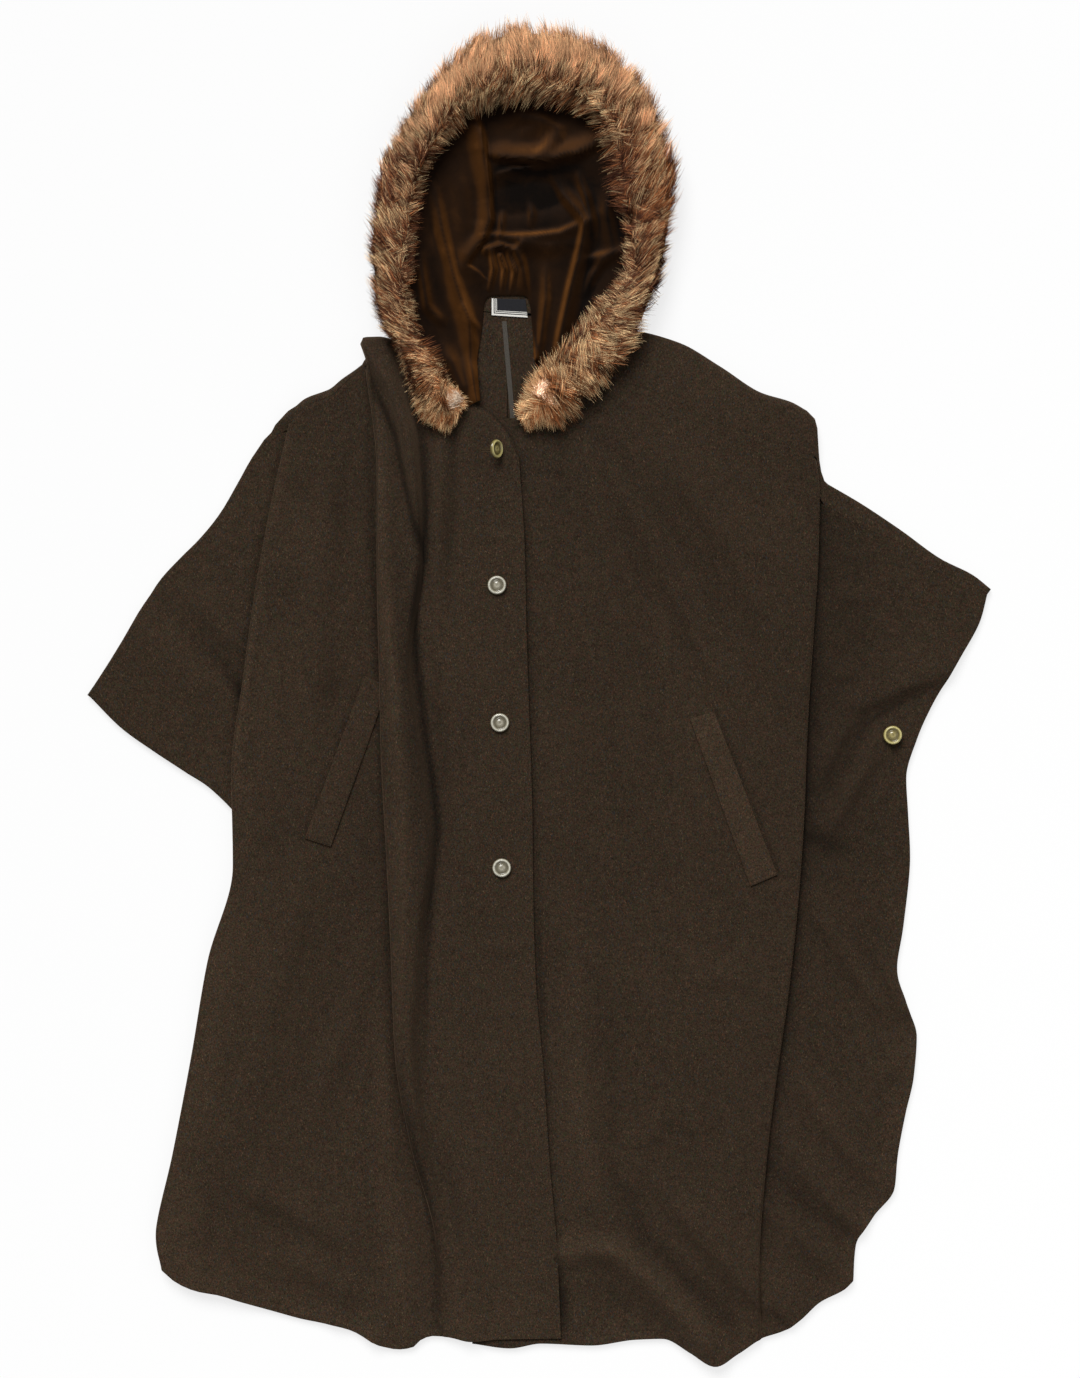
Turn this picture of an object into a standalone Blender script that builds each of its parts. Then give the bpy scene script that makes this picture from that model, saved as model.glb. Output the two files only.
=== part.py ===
"""A hooded cape coat laid flat on its back.

The wearer's head end is at +Y, the wearer's left is at +X, and the coat lies on the plane Z = 0.
The tables are in millimetres, from the middle of the coat's outline.
"""
import math

import bmesh
import bpy
from mathutils import Matrix, Vector
from mathutils.bvhtree import BVHTree

for old in list(bpy.data.objects):
    bpy.data.objects.remove(old, do_unlink=True)

MM = 0.001

# Cloth and the heights of its layers, as the middle of each wall
WOOL = 2.4
VELVET = 1.2
SEAM_GAP = 0.4
FLOOR_LAYER = WOOL / 2
FRONT_LAYER = 4.8
PLACKET_LAYER = 8.0
PLEAT_BEND = 2.2
STRIP_BEND = 2.6
PLEAT_ROWS = 22

BUTTON_DIAMETER = 20.0
BUTTON_DOME = 4.2

coat = bpy.data.collections.new("hooded_cape_coat")
bpy.context.scene.collection.children.link(coat)


def finish_of(name, colour, roughness):
    material = bpy.data.materials.new(name)
    material.use_nodes = True
    shader = material.node_tree.nodes["Principled BSDF"]
    shader.inputs["Base Color"].default_value = (*colour, 1.0)
    shader.inputs["Roughness"].default_value = roughness
    shader.inputs["Metallic"].default_value = 0.0
    return material


wool = finish_of("wool", (0.042, 0.032, 0.018), 0.95)
velvet = finish_of("velvet", (0.028, 0.012, 0.004), 0.8)
fur = finish_of("fur", (0.30, 0.16, 0.09), 0.9)
pearl = finish_of("pearl_plastic", (0.50, 0.44, 0.32), 0.3)
label_cloth = finish_of("label_cloth", (0.010, 0.010, 0.012), 0.7)
tape_cloth = finish_of("tape_cloth", (0.05, 0.05, 0.045), 0.85)


def smooth_value(places, values, place):
    """Value of a smooth curve through a column, without overshoot, and flat beyond its ends."""
    if place <= places[0]:
        return values[0]
    if place >= places[-1]:
        return values[-1]
    spans = [b - a for a, b in zip(places, places[1:])]
    steps = [(b - a) / span for a, b, span in zip(values, values[1:], spans)]
    slopes = [steps[0]]
    for before, after in zip(steps, steps[1:]):
        slopes.append(2 * before * after / (before + after) if before * after > 0 else 0.0)
    slopes.append(steps[-1])
    for i, span in enumerate(spans):
        if place <= places[i + 1]:
            t = (place - places[i]) / span
            return (values[i] * (2 * t ** 3 - 3 * t ** 2 + 1) + values[i + 1] * (3 * t ** 2 - 2 * t ** 3)
                    + slopes[i] * span * (t ** 3 - 2 * t ** 2 + t) + slopes[i + 1] * span * (t ** 3 - t ** 2))


def at(table, column, down):
    return smooth_value(table["down"], table[column], down)


def on_line(line, x):
    """Height Y of an edge line at x. The line is a tuple of (x, y) points in either direction."""
    points = sorted(line)
    return smooth_value([p[0] for p in points], [p[1] for p in points], x)


def ease(value):
    value = max(0.0, min(1.0, value))
    return value * value * (3 - 2 * value)


def mix(a, b, share):
    return a + (b - a) * share


def raised_lines(lines, x, y):
    """Sum of soft ridges. Each has its two ends, half width and height."""
    lift = 0.0
    for x1, y1, x2, y2, half_width, height in lines:
        along = Vector((x2 - x1, y2 - y1))
        length = along.length
        share = Vector((x - x1, y - y1)).dot(along) / length ** 2
        near = Vector((x1, y1)) + along * max(0.0, min(1.0, share))
        away = (Vector((x, y)) - near).length
        ends = math.sin(math.pi * max(0.0, min(1.0, share))) ** 0.5
        lift += height * math.exp(-((away / half_width) ** 2)) * ends
    return lift


def cloth(name, rows, thickness, material):
    """A wall of cloth on the grid of middle points given by rows."""
    across = len(rows[0]) - 1
    down = len(rows) - 1
    mesh = bpy.data.meshes.new(name)
    bm = bmesh.new()
    bmesh.ops.create_grid(bm, x_segments=across, y_segments=down, size=1.0)
    for vert in bm.verts:
        column = round((vert.co.x + 1) / 2 * across)
        row = round((1 - vert.co.y) / 2 * down)
        vert.co = Vector(rows[row][column]) * MM
    for face in bm.faces:
        face.smooth = True
    bm.to_mesh(mesh)
    bm.free()
    mesh.materials.append(material)
    piece = bpy.data.objects.new(name, mesh)
    coat.objects.link(piece)
    wall = piece.modifiers.new("wall", "SOLIDIFY")
    wall.thickness = thickness * MM
    wall.offset = 0.0
    wall.use_even_offset = False
    return piece


def turned_under(x, z, heading, turn, straight, bend, steps=4):
    """Points (x, z) of cloth that turns under, runs back and turns flat again, as a pleat does.

    heading is +1 or -1, turn is in degrees, straight is the run between the two bends.
    """
    angle = math.radians(turn)
    points = []
    for k in range(1, steps + 1):
        part = angle * k / steps
        points.append((x + heading * bend * math.sin(part), z - bend * (1 - math.cos(part))))
    x, z = points[-1]
    x += heading * straight * math.cos(angle)
    z -= straight * math.sin(angle)
    points.append((x, z))
    for k in range(1, steps + 1):
        part = angle * (1 - k / steps)
        points.append((x + heading * bend * (math.sin(angle) - math.sin(part)),
                       z - bend * (math.cos(part) - math.cos(angle))))
    return points


def fall(turn, straight, bend):
    angle = math.radians(turn)
    return 2 * bend * (1 - math.cos(angle)) + straight * math.sin(angle)


# Left front (wearer's left). Its outer part lies in a pleat that closes towards the hem.
LEFT_EDGE = {"down": (0, 0.5, 1), "x": (-68, -71, -70), "y": (277, -202, -681)}
LEFT_PLEAT = {
    "down": (0, 0.1, 0.2, 0.3, 0.4, 0.5, 0.6, 0.7, 0.8, 0.9, 1),
    "x": (286, 290, 286, 279, 276, 270, 260, 247, 236, 230, 231),
    "y": (248, 154, 61, -33, -126, -219, -313, -406, -500, -589, -676),
    "straight": (60, 56, 52, 48, 42, 36, 30, 22, 13, 4, 2),
    "turn": (180, 180, 180, 180, 180, 180, 180, 180, 180, 150, 50),
}
LEFT_SIDE = {
    "down": (0, 0.05, 0.12, 0.2, 0.26, 0.32, 0.38, 0.44, 0.5, 0.55, 0.6, 0.65, 0.7, 0.75, 0.8, 0.85, 0.9,
             0.95, 1),
    "x": (470, 463, 439, 411, 396, 385, 387, 389, 382, 375, 384, 396, 393, 384, 376, 372, 350, 332, 329),
    "y": (105, 78, 34, -14, -48, -88, -127, -172, -243, -290, -323, -359, -400, -441, -484, -519, -548,
          -578, -614),
}
LEFT_NECK_AND_SHOULDER = (
    (-68, 277), (-41, 288), (-19, 290), (22, 307), (54, 326), (77, 338), (111, 321), (148, 301), (190, 282),
    (232, 267), (274, 252), (289, 248))
LEFT_SLEEVE_SEAM = (
    (220, 223), (264, 210), (300, 198), (337, 175), (374, 161), (405, 138), (442, 120), (470, 105))
LEFT_HEM = (
    (-70, -681), (-30, -686), (2, -681), (55, -683), (101, -677), (130, -676), (159, -690), (185, -703.3),
    (209, -691), (232, -676), (258, -667), (274, -656), (294, -638), (320, -624), (329, -615))
LEFT_RIDGES = (
    (25, -589, 170, -678, 14, 5.0),
    (185, -702, 150, -600, 16, 5.0),
    (300, -240, 355, -320, 12, 4.0),
    (360, -285, 385, -330, 8, 4.0),
    (378, -420, 340, -300, 14, 3.0),
)
LEFT_RAMP = 95.0


def left_front_lift(x, down):
    """Height of the left front's upper layer, which climbs onto its own pleat."""
    straight = at(LEFT_PLEAT, "straight", down)
    turn = at(LEFT_PLEAT, "turn", down)
    rise = fall(turn, straight, PLEAT_BEND)
    inner = at(LEFT_PLEAT, "x", down) - PLEAT_BEND - straight
    return FRONT_LAYER + rise * ease((x - (inner - 5 - LEFT_RAMP)) / LEFT_RAMP)


def left_front_row(down):
    """One row of middle points of the left front, from the underlap edge out to the side."""
    edge = (at(LEFT_EDGE, "x", down), at(LEFT_EDGE, "y", down))
    pleat = (at(LEFT_PLEAT, "x", down), at(LEFT_PLEAT, "y", down))
    side = (at(LEFT_SIDE, "x", down), at(LEFT_SIDE, "y", down))
    turn = at(LEFT_PLEAT, "turn", down)
    straight = at(LEFT_PLEAT, "straight", down)
    start = pleat[0] - PLEAT_BEND
    row = []
    upper_columns = 16
    for k in range(upper_columns + 1):
        share = k / upper_columns
        x = mix(edge[0], start, share)
        row.append([x, mix(edge[1], pleat[1], share), left_front_lift(x, down), "upper"])
    folded = turned_under(start, row[-1][2], 1, turn, straight, PLEAT_BEND)
    drop = 27 * (1 - down) ** 2
    for k, (x, z) in enumerate(folded):
        row.append([x, pleat[1] - drop * (k + 1) / len(folded), z, "pleat"])
    inner = row[-1]
    side_columns = 8
    for k in range(1, side_columns + 1):
        share = k / side_columns
        row.append([mix(inner[0], side[0], share), mix(inner[1], side[1], share), inner[2], "side"])
    return row


def fitted_rows(row_of, count, top_of, hem_of, top_hold=3.0, hem_hold=7.0):
    """Rows moved so that the first follows the top line and the last the hem, and the rest ease off."""
    rows = [row_of(k / count) for k in range(count + 1)]
    first = [top_of(point) for point in rows[0]]
    last = [hem_of(point) for point in rows[-1]]
    top_moves = [(new[0] - old[0], new[1] - old[1]) for new, old in zip(first, rows[0])]
    hem_moves = [(new[0] - old[0], new[1] - old[1]) for new, old in zip(last, rows[-1])]
    for k, row in enumerate(rows):
        down = k / count
        for point, top_move, hem_move in zip(row, top_moves, hem_moves):
            for axis in (0, 1):
                point[axis] += top_move[axis] * (1 - down) ** top_hold + hem_move[axis] * down ** hem_hold
    return rows


def left_front_top(point):
    x, y, z, run = point
    if run == "upper":
        return x, on_line(LEFT_NECK_AND_SHOULDER, x)
    if run == "side":
        return x, on_line(LEFT_SLEEVE_SEAM, x)
    return x, y


def left_front_hem(point):
    return point[0], on_line(LEFT_HEM, point[0])


left_rows = fitted_rows(left_front_row, PLEAT_ROWS + 2, left_front_top, left_front_hem)
for row in left_rows:
    for point in row:
        if point[3] != "pleat":
            point[2] += raised_lines(LEFT_RIDGES, point[0], point[1])
front_left = cloth("front_left", [[p[:3] for p in row] for row in left_rows], WOOL, wool)

# Right front (wearer's right), on top at the closing. A standing strip of cloth and the sleeve part's pleat.
RIGHT_EDGE = {
    "down": (0, 0.1, 0.2, 0.3, 0.4, 0.5, 0.6, 0.7, 0.8, 0.9, 1),
    "x": (-21, -15, -13, -10, -7, -6, -3, 5, 11, 19, 23),
    "y": (248, 156, 65, -27, -120, -212, -305, -397, -489, -582, -675),
}
RIGHT_STRIP = {
    "down": (0, 0.1, 0.2, 0.3, 0.4, 0.5, 0.6, 0.7, 0.8, 0.9, 1),
    "y": (374, 258, 145, 41, -64, -169, -274, -374, -474, -573, -676),
    "foot_x": (-152, -124, -120, -132, -119, -109, -121, -124, -112, -88, -83),
    "fold_x": (-185, -172, -171, -168, -165, -159, -154, -150, -133, -107, -100),
    "turn": (180, 180, 180, 180, 180, 180, 180, 165, 110, 60, 25),
}
RIGHT_FOLD = {
    "down": (0, 0.1, 0.2, 0.3, 0.4, 0.5, 0.6, 0.7, 0.8, 0.9, 1),
    "x": (-266, -283, -299, -311, -322, -320, -346, -363, -382, -400, -394),
    "y": (287, 204, 109, 15, -80, -180, -279, -379, -479, -565, -601),
    "straight": (28, 40, 50, 55, 58, 58, 58, 56, 52, 48, 44),
}
RIGHT_SLEEVE = {
    "down": (0, 0.1, 0.2, 0.3, 0.4, 0.5, 0.6, 0.7, 0.8, 0.9, 1),
    "x": (-472.9, -439, -406, -373, -341, -301, -318, -336, -355, -373, -366),
    "y": (0, -34, -58, -80, -102, -164, -269, -374, -474, -558, -592),
}
RIGHT_NECK_AND_STRIP = (
    (-21, 248), (-24, 259), (-30, 272), (-41, 286), (-51, 296), (-62, 302), (-78, 308), (-104, 322),
    (-125, 349), (-141, 364), (-152, 371), (-166, 374), (-187, 368))
RIGHT_SHOULDER = (
    (-160, 358), (-172, 352), (-182, 348), (-193, 340), (-207, 330), (-219, 320), (-246, 309), (-267, 288))
RIGHT_SLEEVE_TOP = (
    (-225, 318), (-246, 309), (-267, 288), (-282, 277), (-293, 260), (-303, 245), (-314, 225), (-335, 189),
    (-356, 163), (-377, 142), (-398, 119), (-423, 78), (-440, 51), (-461, 18), (-472.9, 0))
RIGHT_HEM = (
    (23, -675), (-37, -676), (-71, -678), (-95, -674), (-112, -673), (-124, -677), (-133, -685),
    (-147, -687), (-166, -683), (-188, -671), (-209, -663), (-249, -655), (-271, -649), (-314, -636),
    (-335, -629), (-357, -625), (-377, -617), (-391, -606), (-395, -601))
RIGHT_RIDGES = (
    (-172, 350, -126, 190, 11, 5.0),
    (-94, 265, -100, 60, 9, 4.0),
)


STRIP_SLOPE = 12.0
STRIP_SLACK = 5.0
STRIP_LEAST = 2.0


def strip_overlap(down):
    """Run of cloth hidden in the standing strip: what is left of its width beside its slope and bends."""
    width = at(RIGHT_STRIP, "foot_x", down) - at(RIGHT_STRIP, "fold_x", down)
    return max(STRIP_LEAST, width - STRIP_SLOPE - 2 * STRIP_BEND - STRIP_SLACK)


def right_front_row(down):
    """One row of middle points of the right front, from the closing edge out to the sleeve opening."""
    edge = (at(RIGHT_EDGE, "x", down), at(RIGHT_EDGE, "y", down))
    foot = at(RIGHT_STRIP, "foot_x", down)
    fold = at(RIGHT_STRIP, "fold_x", down)
    strip_y = at(RIGHT_STRIP, "y", down)
    row = []
    front_columns = 11
    for k in range(front_columns + 1):
        share = k / front_columns
        x = mix(edge[0], foot, share)
        row.append([x, mix(edge[1], strip_y, share), FRONT_LAYER, "front"])
    turn = at(RIGHT_STRIP, "turn", down)
    overlap = strip_overlap(down)
    top = FRONT_LAYER + fall(turn, overlap, STRIP_BEND)
    strip_start = fold + STRIP_BEND
    slope = min(STRIP_SLOPE, (foot - strip_start) * 0.7)
    for share in (0.33, 0.67, 1.0):
        row.append([foot - slope * share, strip_y, mix(FRONT_LAYER, top, ease(share)), "strip"])
    row.append([strip_start, strip_y, top, "strip"])
    for x, z in turned_under(strip_start, top, -1, turn, overlap, STRIP_BEND):
        row.append([x, strip_y, z, "hidden"])
    inner_strip = row[-1]
    main = (at(RIGHT_FOLD, "x", down), at(RIGHT_FOLD, "y", down))
    straight = at(RIGHT_FOLD, "straight", down)
    start = main[0] + PLEAT_BEND
    main_rise = fall(180, straight, PLEAT_BEND)
    foot_of_ramp = fold - 4
    head_of_ramp = min(start + straight + 5, foot_of_ramp - 30)
    ramp = min(75.0, foot_of_ramp - head_of_ramp)
    shares = (0.08, 0.18, 0.3, 0.42, 0.54, 0.66, 0.78, 0.9, 1.0)
    for share in shares:
        x = mix(inner_strip[0], start, share)
        z = inner_strip[2] + main_rise * ease((head_of_ramp + ramp - x) / ramp)
        row.append([x, mix(strip_y, main[1], share), z, "shoulder"])
    top = row[-1][2]
    for x, z in turned_under(start, top, -1, 180, straight, PLEAT_BEND):
        row.append([x, main[1], z, "under"])
    inner = row[-1]
    sleeve = (at(RIGHT_SLEEVE, "x", down), at(RIGHT_SLEEVE, "y", down))
    sleeve_columns = 10
    for k in range(1, sleeve_columns + 1):
        share = k / sleeve_columns
        row.append([mix(inner[0], sleeve[0], share), mix(inner[1], sleeve[1], share), inner[2], "sleeve"])
    return row


PLEAT_TOP = FRONT_LAYER + 4 * PLEAT_BEND
SEAM_LIP = 0.8
SHOULDER_GAP = 0.8
RIGHT_TOP_LINES = {
    "front": RIGHT_NECK_AND_STRIP, "strip": RIGHT_NECK_AND_STRIP, "hidden": RIGHT_SHOULDER,
    "shoulder": RIGHT_SHOULDER, "under": RIGHT_SLEEVE_TOP, "sleeve": RIGHT_SLEEVE_TOP}


def inward(line, x):
    """Unit vector from an edge line into the coat at x."""
    step = 2.0
    along = Vector((2 * step, on_line(line, x + step) - on_line(line, x - step)))
    along.normalize()
    return Vector((along.y, -along.x))


def right_front_top(point):
    x, y, z, run = point
    line = RIGHT_TOP_LINES[run]
    place = Vector((x, on_line(line, x)))
    turned = ease((-140 - x) / 12)
    hidden = 1.0 if run in ("hidden", "under") else ease((x + 292) / 16) if run == "sleeve" else 0.0
    bend = (mix(z, PLEAT_TOP, hidden) - FLOOR_LAYER) / 2
    return place + inward(line, x) * (bend + FLOOR_LAYER + SEAM_LIP + SHOULDER_GAP) * turned


def right_front_hem(point):
    x, y, z, run = point
    tucked = 4.0 * ease((x - RIGHT_FOLD["x"][-1]) / 30) if run in ("under", "sleeve") else 0.0
    return x, on_line(RIGHT_HEM, x) + tucked


right_rows = fitted_rows(right_front_row, PLEAT_ROWS, right_front_top, right_front_hem)
for row in right_rows:
    for point in row:
        x, y, z, run = point
        point[2] += (PLACKET_LAYER - FRONT_LAYER) * ease((x + 100) / 18) * ease((312 - y) / 6)
        if run in ("front", "strip", "sleeve"):
            point[2] += raised_lines(RIGHT_RIDGES, x, y)
front_right = cloth("front_right", [[p[:3] for p in row] for row in right_rows], WOOL, wool)

# Back, in two halves that meet at the centre seam. Each turns up over the shoulder edge to meet its front.
CENTRE_BACK_X = -33.0
BACK_INSET = 4.0
BACK_NECK = ((-126, 384.6), (-33, 397), (74, 391))
TURN_STEPS = 5
# The wearer's left shoulder edge, beside the seam's place
LEFT_SHOULDER_EDGE = {
    "down": (104, 111, 152, 192, 232, 264, 282),
    "x": (101, 107, 148, 190, 232, 264, 280),
    "y": (379, 380, 368, 343, 316, 306, 297),
}
LEFT_SLEEVE_EDGE = {
    "down": (303, 340, 381, 420, 450, 470),
    "x": (303, 337, 379, 421, 455, 474),
    "y": (220, 200, 172, 142, 125, 110),
}
# Where the shoulder edge steps down beside the pleat: edge x and y, seam x and y, height
LEFT_STEP = (
    (288, 289, 286.5, 251.5, 13.0), (293, 281, 290.5, 251.5, 11.8), (296.5, 262, 294, 250, 9.0),
    (299, 240, 297, 231, 6.0))


def neck_column(x):
    """Middle points of the back's plain neck edge at x."""
    y = on_line(BACK_NECK, x)
    return [(x, y - 1.5 * k, FLOOR_LAYER) for k in range(TURN_STEPS + 2, -1, -1)]


def turned_edge(edge, seam, height, share=1.0):
    """Middle points from the floor, round the shoulder edge and back to the seam on top.

    A share under 1 turns only part of the way, for the neck edge, which rises from the floor.
    """
    inwards = Vector((seam[0] - edge[0], seam[1] - edge[1]))
    reach = inwards.length
    inwards.normalize()
    bend = (height - FLOOR_LAYER) / 2
    centre = Vector(edge) + inwards * (bend + FLOOR_LAYER)
    points = []
    for k in range(TURN_STEPS + 1):
        angle = math.pi * share * k / TURN_STEPS
        spot = centre - inwards * bend * math.sin(angle)
        points.append((spot.x, spot.y, FLOOR_LAYER + bend * (1 - math.cos(angle))))
    left = reach - bend - FLOOR_LAYER
    last = Vector(points[-1])
    for k in (0.5, 1.0):
        spot = last + Vector((*(inwards * -math.cos(angle)), math.sin(angle))) * left * k
        points.append(tuple(spot))
    return points


def left_wraps():
    """Columns round the wearer's left shoulder edge, each beside a point of the front's top row."""
    columns = [neck_column(x) for x in (CENTRE_BACK_X, 20, 60, 74)]
    for x, y, share in ((81, 389, 0.3), (88, 386, 0.65), (96, 382, 1.0)):
        columns.append(turned_edge((x, y), (x, y - 6), 6.2, share))
    for x, y, z, run in left_rows[0]:
        seam = (x, y + SEAM_GAP)
        if run == "upper" and 104 < x < 285:
            edge = (at(LEFT_SHOULDER_EDGE, "x", x), at(LEFT_SHOULDER_EDGE, "y", x))
            columns.append(turned_edge(edge, seam, z))
    for edge_x, edge_y, seam_x, seam_y, height in LEFT_STEP:
        columns.append(turned_edge((edge_x, edge_y), (seam_x, seam_y), height))
    for x, y, z, run in left_rows[0]:
        if run == "side" and x > 300:
            edge = (at(LEFT_SLEEVE_EDGE, "x", x), at(LEFT_SLEEVE_EDGE, "y", x))
            columns.append(turned_edge(edge, (x, y + SEAM_GAP), z))
    return columns


def right_wraps():
    """Columns round the wearer's right shoulder edge, each beside a point of the front's top row."""
    columns = [neck_column(x) for x in (CENTRE_BACK_X, -90, -126)]
    for x, y, share in ((-134, 379.5, 0.3), (-142.5, 374.5, 0.65)):
        columns.append(turned_edge((x, y), (x, y - 6), 6.6, share))
    sleeve_start = at(RIGHT_FOLD, "x", 0)
    for x, y, z, run in right_rows[0]:
        shown = (run == "strip" and z > 7) or (run == "shoulder" and x < -188) or (
            run == "sleeve" and x < sleeve_start - 4)
        if not shown:
            continue
        inwards = inward(RIGHT_TOP_LINES[run], x)
        bend = (z - FLOOR_LAYER) / 2
        seam = Vector((x, y)) - inwards * SHOULDER_GAP
        edge = seam - inwards * (bend + FLOOR_LAYER + SEAM_LIP)
        columns.append(turned_edge(edge, seam, z))
    return columns


def back_half(name, wraps, side, hem, centre_gap):
    """A flat panel from the centre seam to the side, with its top edge turned up round the shoulder."""
    columns = [list(reversed(wrap)) for wrap in wraps]
    rows_down = 12
    grid = []
    turned_rows = len(columns[0])
    for k in range(turned_rows):
        grid.append([column[k] for column in columns])
    floor_edge = grid[-1]
    corner_top = floor_edge[-1]
    for k in range(1, rows_down + 1):
        down = k / rows_down
        outer = (at(side, "x", down), at(side, "y", down))
        centre_y = mix(floor_edge[0][1], on_line(hem, centre_gap) + BACK_INSET, down)
        row = []
        for j, (top_x, top_y, top_z) in enumerate(floor_edge):
            share = (top_x - floor_edge[0][0]) / (corner_top[0] - floor_edge[0][0])
            base_y = mix(floor_edge[0][1], corner_top[1], share)
            x = mix(centre_gap, outer[0], share)
            y = mix(centre_y, outer[1], share) + (top_y - base_y) * (1 - down) ** 2.2
            if k == rows_down:
                y = on_line(hem, x) + BACK_INSET
            row.append((x, y, FLOOR_LAYER))
        grid.append(row)
    return cloth(name, grid, WOOL, wool)


LEFT_BACK_SIDE = {
    "down": LEFT_SIDE["down"],
    "x": tuple(x - BACK_INSET for x in LEFT_SIDE["x"]),
    "y": LEFT_SIDE["y"],
}
RIGHT_BACK_SIDE = {
    "down": (0, 0.1, 0.2, 0.3, 0.4, 0.47, 0.6, 0.7, 0.8, 0.9, 1),
    "x": (-468, -434, -401, -368, -336, -315, -340, -357, -376, -394, -388),
    "y": (0, -31, -55, -77, -99, -150, -279, -379, -479, -562, -598),
}
back_left = back_half("back_left", left_wraps(), LEFT_BACK_SIDE, LEFT_HEM, CENTRE_BACK_X + SEAM_GAP / 2)
back_right = back_half("back_right", right_wraps(), RIGHT_BACK_SIDE, RIGHT_HEM, CENTRE_BACK_X - SEAM_GAP / 2)
for half, sign in ((back_left, 1), (back_right, -1)):
    for vert in half.data.vertices:
        limit = (CENTRE_BACK_X + sign * SEAM_GAP / 2) * MM
        vert.co.x = max(vert.co.x, limit) if sign > 0 else min(vert.co.x, limit)

# Fur round the hood's mouth, from its left end in plan up over the top and down to its right end
FUR = {
    "down": tuple(range(31)),
    "outer_x": (-99, -125, -139, -149, -166, -176, -177, -179, -175, -170, -159, -143, -122, -92, -62, -20,
                27, 69, 106, 124, 138, 144, 142, 138, 132, 122, 106, 82, 56, 22, -9),
    "outer_y": (273, 288, 328, 361, 382, 414, 445, 477, 508, 540, 571, 603, 634, 666, 689, 702,
                697, 678, 650, 618, 582, 540, 508, 477, 445, 414, 372, 337, 307, 278, 277),
    "inner_x": (-77, -84, -91, -101, -123, -129, -131, -129, -125, -120, -112, -99, -83, -64, -46, -20,
                6, 35, 54, 64, 70, 75, 89, 89, 80, 62, 48, 33, 9, -13, -24),
    "inner_y": (307, 312, 324, 349, 375, 401, 429, 454, 489, 529, 555, 571, 589, 605, 613, 617,
                616, 611, 599, 575, 548, 517, 496, 474, 435, 414, 395, 375, 351, 328, 300),
    "under": (11.6, 11.4, 11.2, 17.6, 17.8, 15.2, 15.0, 15.0, 15.0, 15.0, 15.0, 15.0, 15.0, 15.0, 15.0, 15.0,
              15.0, 15.0, 15.0, 15.0, 15.0, 15.0, 15.0, 15.0, 15.0, 15.0, 15.0, 9.5, 8.6, 8.0, 8.0),
    "top": (24, 34, 38, 41, 42, 42, 42, 42, 42, 43, 44, 45, 46, 47, 48, 48,
            48, 48, 48, 47, 46, 45, 44, 43, 42, 42, 40, 38, 36, 33, 23),
}
FUR_STEPS = 56
FUR_SIDES = 12


def fur_ring(station):
    outer = Vector((at(FUR, "outer_x", station), at(FUR, "outer_y", station)))
    inner = Vector((at(FUR, "inner_x", station), at(FUR, "inner_y", station)))
    under = at(FUR, "under", station)
    top = at(FUR, "top", station)
    middle = (outer + inner) / 2
    half = (outer - inner) / 2
    ring = []
    for k in range(FUR_SIDES):
        angle = 2 * math.pi * k / FUR_SIDES
        across = math.copysign(abs(math.cos(angle)) ** 0.8, math.cos(angle))
        lift = math.sin(angle)
        centre_z = mix(under, top, 0.35)
        z = centre_z + (top - centre_z) * lift if lift > 0 else centre_z + (centre_z - under) * lift
        spot = middle + half * across
        ring.append(Vector((spot.x, spot.y, z)))
    return ring


def fur_trim_object():
    mesh = bpy.data.meshes.new("fur_trim")
    bm = bmesh.new()
    last = len(FUR["down"]) - 1
    rings = [fur_ring(last * k / FUR_STEPS) for k in range(FUR_STEPS + 1)]
    for end, beyond in ((0, 1), (FUR_STEPS, FUR_STEPS - 1)):
        middle = sum(rings[end], Vector()) / FUR_SIDES
        ahead = middle - sum(rings[beyond], Vector()) / FUR_SIDES
        ahead.normalize()
        small = [middle + (spot - middle) * 0.55 + ahead * 5 for spot in rings[end]]
        if end == 0:
            rings.insert(0, small)
        else:
            rings.append(small)
    loops = []
    for ring in rings:
        verts = [bm.verts.new(spot * MM) for spot in ring]
        loops.append([bm.edges.new((verts[k], verts[(k + 1) % FUR_SIDES])) for k in range(FUR_SIDES)])
    for one, two in zip(loops, loops[1:]):
        bmesh.ops.bridge_loops(bm, edges=one + two)
    bmesh.ops.holes_fill(bm, edges=loops[0] + loops[-1], sides=FUR_SIDES)
    bmesh.ops.recalc_face_normals(bm, faces=bm.faces)
    for face in bm.faces:
        face.smooth = True
    bm.to_mesh(mesh)
    bm.free()
    mesh.materials.append(fur)
    piece = bpy.data.objects.new("fur_trim", mesh)
    coat.objects.link(piece)
    return piece


fur_trim = fur_trim_object()

# Hood of two wool halves: a floor, a turned-up side and a rim that comes back over it under the fur
HOOD_NECK = Vector((CENTRE_BACK_X, 398.0))
HOOD_HEIGHT = 13.2
HOOD_RIM = 0.62
HOOD_EDGE = 0.13
HOOD_FIRST = 5.0
HOOD_LAST = 25.6
HOOD_MIDDLE = 14.6


def across_fur(station, share):
    """Point in plan at a share of the way from the fur's outer edge to its inner edge."""
    outer = Vector((at(FUR, "outer_x", station), at(FUR, "outer_y", station)))
    inner = Vector((at(FUR, "inner_x", station), at(FUR, "inner_y", station)))
    return outer + (inner - outer) * share


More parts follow.
